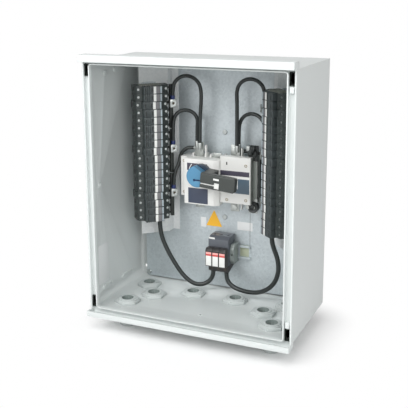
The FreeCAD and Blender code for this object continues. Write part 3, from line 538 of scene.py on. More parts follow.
# %% Lamps
LAMP_TARGET = Vector((0.0, 0.0, 0.3))
# Name, place, size, watts
LAMPS = [
    ("key_softbox", (-1.2, -2.3, 1.8), 1.3, 46.0),
    ("right_fill", (1.7, -2.0, 1.3), 1.4, 25.0),
    ("front_top_softbox", (0.2, -1.4, 2.2), 1.2, 19.0),
]


def soft_lamp(name, place, size, watts):
    data = bpy.data.lights.new(name, "AREA")
    data.shape = "SQUARE"
    data.size = size
    data.energy = watts
    lamp = bpy.data.objects.new(name, data)
    lamp.location = place
    aim = LAMP_TARGET - Vector(place)
    lamp.rotation_euler = aim.to_track_quat("-Z", "Y").to_euler()
    bpy.context.scene.collection.objects.link(lamp)


for lamp in LAMPS:
    soft_lamp(*lamp)
bpy.context.scene.view_settings.view_transform = "Standard"
print(len(LAMPS), "lamps")

# %% [markdown]
# ## Shared effects
# Several finishes need the same small effects. Copying their nodes into every
# material would work, and every later change would then be made many times. So
# each effect is a node group that is built once. One gives the fine grain of a
# moulded surface as a bump, one lets a colour drift a little over a large face
# as real batches and dust do, one draws the cloudy crystals of a zinc coat, and
# one the fine lines of a drawn or milled metal.

# %% Node groups
def new_group(name, inputs, outputs):
    """An empty group: inputs as name, socket type and value, outputs as name and type."""
    group = bpy.data.node_groups.new(name, "ShaderNodeTree")
    for label, kind, value in inputs:
        group.interface.new_socket(label, in_out="INPUT", socket_type=kind).default_value = value
    for label, kind in outputs:
        group.interface.new_socket(label, in_out="OUTPUT", socket_type=kind)
    start = group.nodes.new("NodeGroupInput")
    end = group.nodes.new("NodeGroupOutput")
    return group, start, end


def noise(tree, coordinates, scale, detail):
    """Noise whose scale is a number or another node's output."""
    node = new_node(tree, "TexNoise")
    node.inputs["Detail"].default_value = detail
    if hasattr(scale, "default_value"):
        link(tree, scale, node.inputs["Scale"])
    else:
        node.inputs["Scale"].default_value = scale
    link(tree, coordinates, node.inputs["Vector"])
    return node


def varied_roughness(group, start, end, pattern, amount):
    """The group's roughness, which changes with the pattern by that amount."""
    rough = new_node(group, "Math", "MULTIPLY_ADD", amount)
    link(group, pattern, rough.inputs[0])
    link(group, start.outputs["Roughness"], rough.inputs[2])
    link(group, rough.outputs[0], end.inputs["Roughness"])


WAVES = 14.0
SPECKS = 900.0
CLOUDS = 9.0
DRAWN_LINES = (2600.0, 2600.0, 120.0)


def grain_group():
    """Fine moulded grain over a faint, slower waviness."""
    group, start, end = new_group(
        "moulded_grain",
        [
            ("Scale", "NodeSocketFloat", 2500.0),
            ("Depth", "NodeSocketFloat", 0.00002),
            ("Waviness", "NodeSocketFloat", 0.0),
        ],
        [("Normal", "NodeSocketVector")],
    )
    place = new_node(group, "TexCoord")
    fine = noise(group, place.outputs["Object"], start.outputs["Scale"], 2.0)
    slow = noise(group, place.outputs["Object"], WAVES, 1.0)
    wave = new_node(group, "Bump")
    grain = new_node(group, "Bump")
    link(group, slow.outputs["Fac"], wave.inputs["Height"])
    link(group, start.outputs["Waviness"], wave.inputs["Distance"])
    link(group, fine.outputs["Fac"], grain.inputs["Height"])
    link(group, start.outputs["Depth"], grain.inputs["Distance"])
    link(group, wave.outputs["Normal"], grain.inputs["Normal"])
    link(group, grain.outputs["Normal"], end.inputs["Normal"])
    return group


def signed(group, pattern, amount):
    """A pattern from 0 to 1 made to swing about 0: as it is, and times the amount."""
    centred = new_node(group, "Math", "SUBTRACT", 0.5)
    scaled = new_node(group, "Math", "MULTIPLY")
    link(group, pattern, centred.inputs[0])
    link(group, centred.outputs[0], scaled.inputs[0])
    link(group, amount, scaled.inputs[1])
    return centred.outputs[0], scaled.outputs[0]


def drift_group():
    """A colour that grows a little lighter and darker over the surface."""
    group, start, end = new_group(
        "colour_drift",
        [
            ("Color", "NodeSocketColor", (0.8, 0.8, 0.8, 1.0)),
            ("Amount", "NodeSocketFloat", 0.05),
            ("Scale", "NodeSocketFloat", 6.0),
            ("Speckle", "NodeSocketFloat", 0.0),
            ("Roughness", "NodeSocketFloat", 0.5),
        ],
        [("Color", "NodeSocketColor"), ("Roughness", "NodeSocketFloat")],
    )
    place = new_node(group, "TexCoord")
    slow = noise(group, place.outputs["Object"], start.outputs["Scale"], 3.0)
    specks = noise(group, place.outputs["Object"], SPECKS, 1.0)
    shade, drift = signed(group, slow.outputs["Fac"], start.outputs["Amount"])
    speckle = signed(group, specks.outputs["Fac"], start.outputs["Speckle"])[1]
    both = new_node(group, "Math", "ADD")
    level = new_node(group, "Math", "ADD", 1.0)
    tint = new_node(group, "VectorMath", "SCALE")
    link(group, drift, both.inputs[0])
    link(group, speckle, both.inputs[1])
    link(group, both.outputs[0], level.inputs[0])
    link(group, start.outputs["Color"], tint.inputs[0])
    link(group, level.outputs[0], tint.inputs["Scale"])
    link(group, tint.outputs[0], end.inputs["Color"])
    varied_roughness(group, start, end, shade, 0.12)
    return group


def spangle_group():
    """The cloudy grains of a zinc coat: patches that differ a little in shade."""
    group, start, end = new_group(
        "zinc_spangle",
        [
            ("Color", "NodeSocketColor", (0.6, 0.62, 0.64, 1.0)),
            ("Dark", "NodeSocketColor", (0.5, 0.52, 0.54, 1.0)),
            ("Scale", "NodeSocketFloat", 60.0),
            ("Roughness", "NodeSocketFloat", 0.4),
        ],
        [("Color", "NodeSocketColor"), ("Roughness", "NodeSocketFloat"), ("Height", "NodeSocketFloat")],
    )
    place = new_node(group, "TexCoord")
    cells = new_node(group, "TexVoronoi")
    cloud = noise(group, place.outputs["Object"], CLOUDS, 4.0)
    grey = new_node(group, "RGBToBW")
    blend = new_node(group, "Math", "MULTIPLY")
    mix = new_node(group, "Mix")
    mix.data_type = "RGBA"
    link(group, place.outputs["Object"], cells.inputs["Vector"])
    link(group, start.outputs["Scale"], cells.inputs["Scale"])
    link(group, cells.outputs["Color"], grey.inputs[0])
    link(group, grey.outputs[0], blend.inputs[0])
    link(group, cloud.outputs["Fac"], blend.inputs[1])
    link(group, blend.outputs[0], mix.inputs["Factor"])
    link(group, start.outputs["Color"], mix.inputs["A"])
    link(group, start.outputs["Dark"], mix.inputs["B"])
    link(group, mix.outputs["Result"], end.inputs["Color"])
    link(group, blend.outputs[0], end.inputs["Height"])
    varied_roughness(group, start, end, blend.outputs[0], 0.2)
    return group


def lines_group():
    """Fine drawn lines along Z, for milled and drawn metal."""
    group, start, end = new_group(
        "drawn_lines",
        [("Depth", "NodeSocketFloat", 0.00001), ("Roughness", "NodeSocketFloat", 0.3)],
        [("Normal", "NodeSocketVector"), ("Roughness", "NodeSocketFloat")],
    )
    place = new_node(group, "TexCoord")
    stretch = new_node(group, "Mapping")
    stretch.inputs["Scale"].default_value = DRAWN_LINES
    streaks = noise(group, stretch.outputs[0], 1.0, 2.0)
    bump = new_node(group, "Bump")
    link(group, place.outputs["Object"], stretch.inputs["Vector"])
    link(group, streaks.outputs["Fac"], bump.inputs["Height"])
    link(group, start.outputs["Depth"], bump.inputs["Distance"])
    link(group, bump.outputs["Normal"], end.inputs["Normal"])
    varied_roughness(group, start, end, streaks.outputs["Fac"], 0.18)
    return group


GRAIN = grain_group()
DRIFT = drift_group()
SPANGLE = spangle_group()
LINES = lines_group()
print(len(bpy.data.node_groups), "node groups")

# %% [markdown]
# ## Finishes
# Most pieces are moulded plastic. A photograph of each surface could give its
# looks, and it would carry the light of that day, so every finish is made by
# nodes instead. One function makes a plastic from its colour, its roughness and
# the size of its grain. The zinc coat is partly dull salts, so it is only half
# a metal to the shader, and tin and steel are nearly all metal. A film has the
# finest grain. Colours are written as they look on a screen, from 0 to 255, and
# turned into the linear values that the shader wants.

# %% Materials
def colour(red, green, blue):
    """A screen colour, 0 to 255, as linear light."""
    linear = []
    for value in (red, green, blue):
        part = value / 255
        linear.append(part / 12.92 if part <= 0.04045 else ((part + 0.055) / 1.055) ** 2.4)
    return (*linear, 1.0)


def base_material(name):
    material = bpy.data.materials.new(name)
    material.use_nodes = True
    shader = material.node_tree.nodes["Principled BSDF"]
    return material, material.node_tree, shader


def grouped(tree, group, **values):
    """A node group placed in a material, with the material's own values."""
    node = new_node(tree, "Group")
    node.node_tree = group
    for key, value in values.items():
        node.inputs[key].default_value = value
    return node


def plastic(name, tone, roughness, grain, depth, drift, speckle=0.0, wave=0.0):
    """Moulded plastic. depth and wave are the bump heights in millimetres."""
    material, tree, shader = base_material(name)
    surface = grouped(tree, GRAIN, Scale=grain, Depth=depth * MM, Waviness=wave * MM)
    tint = grouped(tree, DRIFT, Color=tone, Amount=drift, Speckle=speckle, Roughness=roughness)
    link(tree, surface.outputs["Normal"], shader.inputs["Normal"])
    link(tree, tint.outputs["Color"], shader.inputs["Base Color"])
    link(tree, tint.outputs["Roughness"], shader.inputs["Roughness"])
    return material


ZINC_RELIEF = 0.04


def zinc(name, tone, dark, roughness, metallic, grains):
    """Zinc-plated sheet: dull metal with soft patches."""
    material, tree, shader = base_material(name)
    shader.inputs["Metallic"].default_value = metallic
    coat = grouped(tree, SPANGLE, Color=tone, Dark=dark, Scale=grains, Roughness=roughness)
    bump = new_node(tree, "Bump")
    bump.inputs["Distance"].default_value = ZINC_RELIEF * MM
    link(tree, coat.outputs["Height"], bump.inputs["Height"])
    link(tree, bump.outputs["Normal"], shader.inputs["Normal"])
    link(tree, coat.outputs["Color"], shader.inputs["Base Color"])
    link(tree, coat.outputs["Roughness"], shader.inputs["Roughness"])
    return material


def plated(name, tone, roughness, metallic=0.9):
    """Tin or nickel plate over drawn metal."""
    material, tree, shader = base_material(name)
    shader.inputs["Metallic"].default_value = metallic
    lines = grouped(tree, LINES, Roughness=roughness)
    tint = grouped(tree, DRIFT, Color=tone, Amount=0.08, Scale=40.0)
    link(tree, tint.outputs["Color"], shader.inputs["Base Color"])
    link(tree, lines.outputs["Normal"], shader.inputs["Normal"])
    link(tree, lines.outputs["Roughness"], shader.inputs["Roughness"])
    return material


# Name, colour, roughness, grain scale, grain depth, drift, and for some speckle and waviness
GRP = plastic("grp_shell", colour(209, 214, 213), 0.42, 1400.0, 0.03, 0.03, 0.05, 0.6)
ZINC = zinc("zinc_plate", colour(200, 208, 211), colour(170, 179, 183), 0.38, 0.5, 210.0)
BRIGHT_ZINC = zinc("bright_zinc", colour(232, 234, 234), colour(206, 210, 212), 0.5, 0.25, 210.0)
BLOCK = plastic("fuse_block", colour(52, 59, 58), 0.42, 3000.0, 0.015, 0.12)
LEVER = plastic("fuse_lever", colour(58, 65, 66), 0.4, 3000.0, 0.015, 0.12)
BLACK = plastic("black_moulding", colour(42, 47, 44), 0.4, 2600.0, 0.015, 0.1)
WHITE = plastic("white_moulding", colour(226, 227, 224), 0.4, 2600.0, 0.01, 0.03)
# A painted highlight for the edge of each lever's nose
PALE_EDGE_HIGHLIGHT = plastic("painted_edge_highlight", colour(160, 172, 178), 0.35, 2600.0, 0.01, 0.05)
LABEL_GREY = plastic("grey_label", colour(112, 112, 114), 0.5, 5000.0, 0.003, 0.25, 0.1)
TIN = plated("tin_plate", colour(196, 200, 198), 0.3)
TERMINAL = plated("terminal_plate", colour(182, 186, 183), 0.3)
STEEL = plated("bright_steel", colour(184, 189, 188), 0.26, 1.0)
ISOLATOR = plastic("isolator_body", colour(222, 222, 219), 0.4, 2600.0, 0.012, 0.03)
HUB_BLUE = plastic("hub_blue", colour(80, 134, 168), 0.32, 2600.0, 0.008, 0.05)
HANDLE = plastic("handle_grey", colour(58, 62, 60), 0.4, 2600.0, 0.02, 0.06)
NAVY = plastic("navy_film", colour(60, 68, 86), 0.38, 5000.0, 0.003, 0.08)
PLUM = plastic("plum_film", colour(70, 67, 80), 0.38, 5000.0, 0.003, 0.1)
SLATE = plastic("slate_film", colour(78, 96, 110), 0.38, 5000.0, 0.003, 0.06)
ARRESTER = plastic("arrester_grey", colour(86, 90, 97), 0.42, 2600.0, 0.015, 0.06)
# Dark plugs, and the painted shade under them on the arrester's base
PLUG_AND_BASE_SHADE = plastic("arrester_plug", colour(48, 46, 46), 0.36, 2600.0, 0.012, 0.08)
RED = plastic("red_film", colour(205, 82, 78), 0.4, 5000.0, 0.003, 0.05)
PINK = plastic("pink_film", colour(240, 172, 166), 0.4, 5000.0, 0.003, 0.04)
CLAMP = plastic("clamp_grey", colour(138, 146, 143), 0.42, 2600.0, 0.012, 0.05)
GLAND = plastic("gland_grey", colour(190, 196, 195), 0.4, 2400.0, 0.015, 0.04)
# Painted shade for the inside of bores and holes
BORE_SHADE = plastic("painted_bore_shade", colour(122, 133, 130), 0.5, 2400.0, 0.015, 0.06)
SEAL = plastic("seal_rubber", colour(104, 114, 112), 0.6, 2400.0, 0.02, 0.08)
SHEATH = plastic("cable_sheath", colour(38, 43, 42), 0.38, 1800.0, 0.02, 0.1)
COLLAR = plastic("navy_collar", colour(38, 52, 104), 0.36, 2600.0, 0.01, 0.08)
AMBER = plastic("amber_plate", colour(244, 184, 44), 0.42, 5000.0, 0.003, 0.03)
# Dark parts such as the fuse window and the plate's seam, and painted shade in slots
DARK_AND_SHADE = plastic("dark_and_painted_shade", colour(22, 25, 24), 0.5, 2600.0, 0.01, 0.1)
# Painted shade for the deep hinge pockets
POCKET_SHADE = plastic("painted_pocket_shade", colour(36, 48, 42), 0.5, 2600.0, 0.01, 0.1)
BOOT = plastic("boot_rubber", colour(44, 48, 48), 0.5, 2200.0, 0.02, 0.1)
RAIL_LABEL = plastic("pale_film", colour(178, 184, 160), 0.45, 5000.0, 0.003, 0.06)
BRONZE = plated("bronze_screw", colour(96, 88, 78), 0.36)
COVER_SCREW = plated("cover_screw", colour(164, 156, 136), 0.34)
# Grey painted shade on the switch's right side
SIDE_SHADE = plastic("painted_side_shade", colour(142, 148, 143), 0.44, 2600.0, 0.015, 0.08)
SLIDE = plastic("lock_slide", colour(222, 223, 220), 0.4, 2600.0, 0.01, 0.03)
# Navy painted shade for the collar behind the hub
NAVY_COLLAR_SHADE = plastic("painted_collar_shade", colour(28, 48, 68), 0.36, 2600.0, 0.01, 0.1)
# Painted shade for the cap's key slot
KEYHOLE_SHADE = plastic("painted_keyhole_shade", colour(12, 50, 92), 0.4, 2600.0, 0.01, 0.1)
RIBS = plastic("rib_grey", colour(136, 138, 130), 0.46, 2600.0, 0.02, 0.12)
WALL_FILM = plastic("wall_film", colour(222, 225, 225), 0.5, 5000.0, 0.003, 0.1)
STICKER = plastic("white_film", colour(224, 226, 226), 0.45, 5000.0, 0.003, 0.03)

for piece in cables:
    paint(piece, SHEATH)
print(len(bpy.data.materials), "materials")

# %% [markdown]
# ## Softened copies
# A moulded edge is never perfectly sharp: it has a small radius that catches
# the light. The engineering model leaves those radii out. The shader's bevel
# node would only pretend to round them, and it is lost in an exported mesh. So
# each piece is copied, its loose triangles are merged into one closed skin, its
# sharp edges are beveled, and the copy takes the place of the original on the
# same body. The mounting plate, its screws, the rails and the glands' seals keep
# the shape that they came with.

# %% Softened copies
SIDES = ("left", "right")
ROWS = 18
MERGE = 0.00001


def lever_node(side, row):
    """The node of the lever in a row, which is counted from the top, from 0."""
    return "fuse_lever_%s_%02d" % (side, row + 1)


def soften(node, width, material, slot):
    """A copy of a node with rounded edges, in its place. Width in millimetres."""
    source = nodes[node]
    piece = source.copy()
    piece.data = source.data.copy()
    piece.parent = None
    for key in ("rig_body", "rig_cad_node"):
        if key in piece:
            del piece[key]
    piece.name = node + "_soft"
    piece.data.name = piece.name
    bpy.context.scene.collection.objects.link(piece)
    edit_all(piece)
    bpy.ops.mesh.remove_doubles(threshold=MERGE)
    leave_edit()
    round_edges(piece, width)
    smooth(piece)
    paint(piece, material)
    return done(piece, source["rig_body"], slot, node)


soft_pieces = {}
for node, width, material, slot in [
    ("enclosure", 0.55, GRP, "grp"),
    ("bank_brackets", 0.6, BRIGHT_ZINC, "zinc"),
    ("comb_busbars", 0.4, BLACK, "black"),
    ("fuse_bases_left", 0.3, BLOCK, "block"),
    ("fuse_bases_right", 0.3, BLOCK, "block"),
    ("feed_lugs", 0.5, TIN, "tin"),
    ("isolator_base", 0.6, ISOLATOR, "isolator"),
    ("isolator_housing", 1.0, ISOLATOR, "isolator"),
    ("isolator_terminals", 0.3, TERMINAL, "tin"),
    ("isolator_hub", 0.5, HUB_BLUE, "blue"),
    ("isolator_handle", 0.35, HANDLE, "black"),
    ("arrester_base", 0.6, ARRESTER, "arrester"),
    ("end_clamp", 0.6, CLAMP, "grey"),
    ("gland_bodies", 0.5, GLAND, "grey"),
    ("gland_nuts", 0.5, GLAND, "grey"),
]:
    soft_pieces[node] = soften(node, width, material, slot)
for number in (1, 2, 3):
    node = "arrester_plug_%d" % number
    soft_pieces[node] = soften(node, 0.5, PLUG_AND_BASE_SHADE, "arrester")
for side in SIDES:
    for row in range(ROWS):
        node = lever_node(side, row)
        soft_pieces[node] = soften(node, 0.4, LEVER, "block")
print(len(soft_pieces), "softened pieces")

# %% Pieces that keep the engineering shape
kept = {
    "mounting_plate": ZINC,
    "plate_screws": STEEL,
    "bank_rails": ZINC,
    "arrester_rail": ZINC,
    "gland_seals": SEAL,
}
for node, material in kept.items():
    paint(nodes[node], material)
print(len(kept), "pieces as they came")

# %% [markdown]
# ## Small parts on the fuse holders
# Every lever carries a white marker strip, a grey rating film, a pale strip at its hinge that is a
# painted highlight on that edge, a small dark window that shows a blown fuse, and a finger slot whose
# shade is painted dark on its sunk floor. An image on the lever's face could stand for them, and it would
# have no edges to catch the light. So they are modelled once, lying in a row's own place: along the
# bank's face, out of it, and up. Each lever then gets a copy, and one matrix turns the copy onto its
# bank. The copy belongs to its lever, so it swings open with it.

# %% Turning a piece onto a bank
BANK_ANGLE = math.radians(42.0)
BANK_CENTRE = (-167.5, 68.2)
TOP_ROW = 558.2
ROW_PITCH = 18.5
LUG_ROWS = (2, 8, 14)
LUG_ROW_SHIFT = -2.0


def row_place(row):
    """A row's shift along the bank and its foot, in millimetres."""
    return (LUG_ROW_SHIFT if row in LUG_ROWS else 0.0, TOP_ROW - row * ROW_PITCH)


def onto_bank(piece, side):
    """From a bank's own directions to the box's. The right bank mirrors the left one.

    A bank's directions are a left-handed set, so the left piece comes out turned
    inside out and its faces are flipped back. The right one is mirrored once more.
    """
    along = (math.cos(BANK_ANGLE), math.sin(BANK_ANGLE), 0.0)
    outward = (math.sin(BANK_ANGLE), -math.cos(BANK_ANGLE), 0.0)
    turn = Matrix((along, outward, (0.0, 0.0, 1.0))).transposed().to_4x4()
    piece.data.transform(Matrix.Translation(metres(*BANK_CENTRE, 0)) @ turn)
    if side == "right":
        piece.data.transform(Matrix.Diagonal((-1, 1, 1, 1)))
    else:
        piece.data.flip_normals()
    return piece


# %% Lever trims
TRIM_BACK = 57.9


def sink_face(piece, test, rim, depth, finish=1):
    """Insets the faces that pass the test, pushes them in and gives them a finish, which on the finger
    slots and the boss's hole is painted shade.

    The test gets a face's middle in metres and its normal.
    """
    only(piece)
    bpy.ops.object.mode_set(mode="EDIT")
    bpy.ops.mesh.select_mode(type="FACE")
    bpy.ops.mesh.select_all(action="DESELECT")
    leave_edit()
    for polygon in piece.data.polygons:
        polygon.select = test(polygon.center, polygon.normal)
    bpy.ops.object.mode_set(mode="EDIT")
    bpy.ops.mesh.inset(thickness=rim * MM, depth=-depth * MM)
    leave_edit()
    for polygon in piece.data.polygons:
        if polygon.select:
            polygon.material_index = finish


def outward_face(centre, normal):
    return normal.y > 0.9


def lever_trim():
    """The five small parts of one lever, whose front is 58 mm out of the bank."""
    marker = block("marker", (-15.4, TRIM_BACK, 0.6), (-9.0, 58.7, 17.5), 0.3)
    paint(marker, WHITE)
    label = block("label", (-8.6, TRIM_BACK, 1.0), (0.4, 58.25, 17.1), 0.1)
    paint(label, LABEL_GREY)
    # The pale strip at the hinge is a painted highlight on the nose's edge.
    strip = block("strip", (1.0, TRIM_BACK, 1.0), (4.9, 58.5, 17.1), 0.25)
    paint(strip, PALE_EDGE_HIGHLIGHT)
    window = block("window", (-20.6, TRIM_BACK, 3.8), (-17.6, 58.5, 14.4), 0.15)
    paint(window, LEVER, DARK_AND_SHADE)
    sink_face(window, outward_face, 0.35, 0.35)
    # The finger slot's sunk floor is painted dark as its shade.
    grip = block("grip", (-35.8, TRIM_BACK, 2.6), (-33.0, 58.4, 13.6), 0.15)
    paint(grip, LEVER, DARK_AND_SHADE)
    sink_face(grip, outward_face, 0.35, 0.25)
    return joined("lever_trim", [marker, label, strip, window, grip])


trim = lever_trim()
for side in SIDES:
    for row in range(ROWS):
        shift, low = row_place(row)
        piece = copy_of(trim, "trim_%s_%02d" % (side, row + 1), (shift, 0, low))
        done(onto_bank(piece, side), lever_node(side, row), "block")
remove(trim)
print(2 * ROWS, "lever trims")

# %% [markdown]
# ## Ribs on the bank tops
# The topmost holder of a bank ends in the open side of its moulding, where thin
# ribs stiffen the wall. An array modifier could repeat one rib. A loop does the
# same with the count and the pitch in plain view, and the ribs are joined with
# a thin plate that lies on the holder.

# %% Bank tops
RIB_COUNT = 9
RIB_PITCH = 5.6
RIB_WIDTH = 2.6


def top_ribs():
    """A ribbed plate that lies on the top fuse holder, behind its lever."""
    foot = ROW_PITCH - 0.7
    parts = [block("plate", (-44.0, 14.0, foot), (8.0, 43.0, foot + 0.9), 0.2)]
    for number in range(RIB_COUNT):
        start = -42.0 + number * RIB_PITCH
        parts.append(block("rib", (start, 15.5, foot + 0.6), (start + RIB_WIDTH, 41.5, foot + 2.6), 0.4))
    ribs = joined("top_ribs", parts)
    paint(ribs, RIBS)
    return ribs


ribs = top_ribs()
for side in SIDES:
    done(onto_bank(copy_of(ribs, "bank_top_" + side, (0, 0, TOP_ROW)), side), "box", "grey")
remove(ribs)
print("bank tops ribbed")

# %% [markdown]
# ## Clamp screws, test pins and lug screws
# Each fuse holder has a clamp screw at either end of its body, down in a pit.
# The screw is a short cylinder with a soft rim and a cross cut into its head. A
# bump could draw the cross, and it would vanish seen from the side, so two thin
# blocks cut it with a boolean. Beside the inner screw stands a thin test pin.
# Each feed lug holds one dull bronze screw, and a navy shrink collar closes the
# cable above it: a tube without ends that Solidify gives its thickness.

# %% Screws and pins
# Width and height of the cross's two arms, where the screw's radius is 1
CROSS_ARMS = ((1.5, 0.35), (0.35, 1.5))
CROSS_DEPTH = 0.9


def cross_screw(name, radius, low, high, place):
    """A screw that looks along +Y, from low to high, at the place (x, z)."""
    x, z = place
    screw = cylinder(name, 16, radius, high - low, (x, (low + high) / 2, z))
    round_edges(screw, 0.35, 2, 40.0)
    for wide, tall in CROSS_ARMS:
        across = wide * radius / 2
        up = tall * radius / 2
        cutter = block(
            "cutter",
            (x - across, high - CROSS_DEPTH, z - up),
            (x + across, high + 1.0, z + up),
            0,
        )
        apply_modifier(screw, "BOOLEAN", operation="DIFFERENCE", object=cutter, solver="EXACT")
        remove(cutter)
    smooth(screw)
    return screw


def test_pin():
    pin = cylinder("test_pin", 12, 1.3, 8.0, (25.4, 33.4, 4.1))
    round_edges(pin, 0.5, 2, 40.0)
    smooth(pin)
    return pin


row_parts = [
    cross_screw("outer_screw", 2.9, 35.5, 39.6, (-48.0, 9.05)),
    cross_screw("inner_screw", 2.9, 35.5, 39.6, (20.0, 9.05)),
    test_pin(),
]
for piece in row_parts:
    paint(piece, STEEL)
row_screws = joined("row_screws", row_parts)
for side in SIDES:
    rows = []
    for row in range(ROWS):
        shift, low = row_place(row)
        rows.append(onto_bank(copy_of(row_screws, "row_screw", (shift, 0, low)), side))
    done(joined("clamp_screws_" + side, rows), "box", "tin")
remove(row_screws)
print(2 * ROWS * 2, "clamp screws")

# %% Lug screws and collars
LUG_TOPS = (539.75, 428.75, 317.75)
LUG_ALONG = 38.5
SCREW_BELOW_TOP = 9.5
lug_screw = cross_screw("lug_screw", 2.7, 33.0, 38.8, (LUG_ALONG, 0.0))
paint(lug_screw, BRONZE)


def shrink_collar():
    """A thin sleeve about a cable, standing on its lug."""
    collar = cylinder("shrink_collar", 32, 5.5, 9.0, (LUG_ALONG, 32.0, 4.5), upright=True, ends="NOTHING")
    apply_modifier(collar, "SOLIDIFY", thickness=0.9 * MM, offset=-1.0)
    round_edges(collar, 0.25, 2, 40.0)
    smooth(collar)
    paint(collar, COLLAR)
    return collar


collar = shrink_collar()
for side in SIDES:
    screws = []
    collars = []
    for top in LUG_TOPS:
        screws.append(onto_bank(copy_of(lug_screw, "lug_screw", (0, 0, top - SCREW_BELOW_TOP)), side))
        collars.append(onto_bank(copy_of(collar, "collar", (0, 0, top)), side))
    done(joined("lug_screws_" + side, screws), "box", "tin")
    done(joined("shrink_collars_" + side, collars), "box", "black")
remove(lug_screw, collar)
print(2 * len(LUG_TOPS), "lugs dressed")

# %% [markdown]
# ## The link's boots
# Beside the switch a short cable joins its last pole above and below. Moulded
# elbows cover the two lugs. A curve with a bevel would give the bend and no
# ribs. So an elbow is a round face, pulled out straight, spun through a quarter
# turn about the bend's middle and pulled out again. Two of its rings are made
# larger, as the ribs that let a finger pull it off. A known fault: mesh.spin
# turns against the right-hand rule, so with this angle the bend comes back over
# the lug, while on the real box it turns out to the link.

# %% Link boots
BOOT_START = 79.4
BOOT_BEND = 91.5
LINK_Y = 78.7
BEND_RADIUS = 12.0
RIB = 1.14
# Each pull's length in millimetres, and how much the ring then grows
PULLS = (
    (1.2, 1.0),
    (0.8, RIB),
    (1.4, 1.0),
    (0.8, 1 / RIB),
    (1.2, 1.0),
    (0.8, RIB),
    (1.4, 1.0),
    (0.8, 1 / RIB),
    (3.7, 1.0),
)


def link_boot(name, height, way):
    """An elbow over a lug of the last pole. way is -1 where it ends below, 1 above."""
    deselect()
    bpy.ops.mesh.primitive_circle_add(
        vertices=28,
        radius=7.0 * MM,
        fill_type="NGON",
        location=metres(BOOT_START, LINK_Y, height),
        rotation=(0, QUARTER_TURN, 0),
    )
    boot = bpy.context.object
    boot.name = name
    place_in_mesh(boot)
    edit_all(boot)
    x = BOOT_START
    for step, scale in PULLS:
        x += step
        bpy.ops.mesh.extrude_region_move(TRANSFORM_OT_translate={"value": metres(step, 0, 0)})
        bpy.ops.transform.resize(value=(scale, scale, scale), center_override=metres(x, LINK_Y, height))
    centre = metres(BOOT_BEND, LINK_Y, height + way * BEND_RADIUS)
    bpy.ops.mesh.spin(steps=8, angle=QUARTER_TURN * -way, center=centre, axis=(0, 1, 0))
    bpy.ops.mesh.extrude_region_move(TRANSFORM_OT_translate={"value": metres(0, 0, way * 3.0)})
    bpy.ops.mesh.select_all(action="SELECT")
    bpy.ops.mesh.remove_doubles(threshold=MERGE)
    bpy.ops.mesh.normals_make_consistent(inside=False)
    leave_edit()
    round_edges(boot, 0.5, 2, 50.0)
    smooth(boot, 40.0)
    paint(boot, BOOT)
    return done(boot, "box", "cable", "cables")


for name, height, way in (("boot_above", 432.0, -1), ("boot_below", 290.0, 1)):
    print(name, extent(link_boot(name, height, way)))

# %% [markdown]
# ## Fields and films on the isolator
# The switch carries plain fields of colour: one plum and one navy on the drive,
# a dark band and a slate field on the cover. A face of the moulding could take
# the colour, and the engineering model has no edges there to hold it. So each
# field is a thin plate with a soft edge, sunk a hair into the moulding so that
# it never floats. A white stroke curves about the hub, a raised white bar marks
# the cover, and small screws hold it.

# %% Isolator fields
DRIVE_FACE = 51.5
COVER_FACE = 63.5
FILM_EDGE = 0.12
FILM_SINK = 0.1


def film(name, face, x0, x1, z0, z1, material, proud=0.25):
    """A thin plate on a face that looks forward, given by its edges."""
    piece = block(name, (x0, face - proud, z0), (x1, face + FILM_SINK, z1), FILM_EDGE)
    paint(piece, material)
    return piece


def field(*values, slot="isolator", proud=0.25):
    """A film that is a finished piece of the box."""
    done(film(*values, proud=proud), "box", slot)


field("plum_field", DRIVE_FACE, -72.2, -19.8, 372.6, 390.4, PLUM)
field("navy_field", DRIVE_FACE, -69.6, -18.0, 291.5, 329.3, NAVY)
field("cover_band", COVER_FACE, 9.6, 83.2, 365.2, 377.0, PLUM)
field("cover_field", COVER_FACE, 30.0, 83.2, 323.0, 358.8, SLATE)
field("cover_bar", COVER_FACE, 52.6, 54.4, 333.9, 361.3, WHITE, proud=0.9)
# The cover's slot is not cut: a dark film paints its shade.
field("cover_slot", COVER_FACE, 24.4, 27.4, 391.0, 398.0, DARK_AND_SHADE)
print("isolator fields laid")

# %% Stroke about the hub
HUB = (-33.0, 366.0)
STROKE_RADIUS = 34.5
STROKE_WIDTH = 1.8
STROKE_DEPTH = 0.72
STROKE_START = math.radians(40)
STROKE_SPAN = math.radians(24)


def hub_arc():
    """A short white stroke about the hub, spun from one small face."""
    deselect()
    start = metres(HUB[0] - STROKE_RADIUS, DRIVE_FACE - 0.35, HUB[1])
    bpy.ops.mesh.primitive_plane_add(size=STROKE_WIDTH * MM, location=start)
    arc = bpy.context.object
    arc.name = "hub_arc"
    arc.scale = (1.0, STROKE_DEPTH / STROKE_WIDTH, 1.0)
    place_in_mesh(arc)
    edit_all(arc)
    hub = metres(HUB[0], DRIVE_FACE, HUB[1])
    bpy.ops.transform.rotate(value=-STROKE_START, orient_axis="Y", center_override=hub)
    bpy.ops.mesh.spin(steps=10, angle=STROKE_SPAN, center=hub, axis=(0, 1, 0))
    bpy.ops.mesh.select_all(action="SELECT")
    bpy.ops.mesh.normals_make_consistent(inside=False)
    leave_edit()
    smooth(arc)
    paint(arc, WHITE)
    return done(arc, "box", "isolator")


print("stroke", extent(hub_arc()))

# %% Cover screws
EAR_FACE = DRIVE_FACE + 20.0


def facing_front(piece, y):
    """Turns a piece made along +Y round to look forward, with its head at y."""
    piece.data.transform(Matrix.Diagonal((1, -1, 1, 1)))
    piece.data.flip_normals()
    piece.data.transform(Matrix.Translation(metres(0, y, 0)))
    return piece


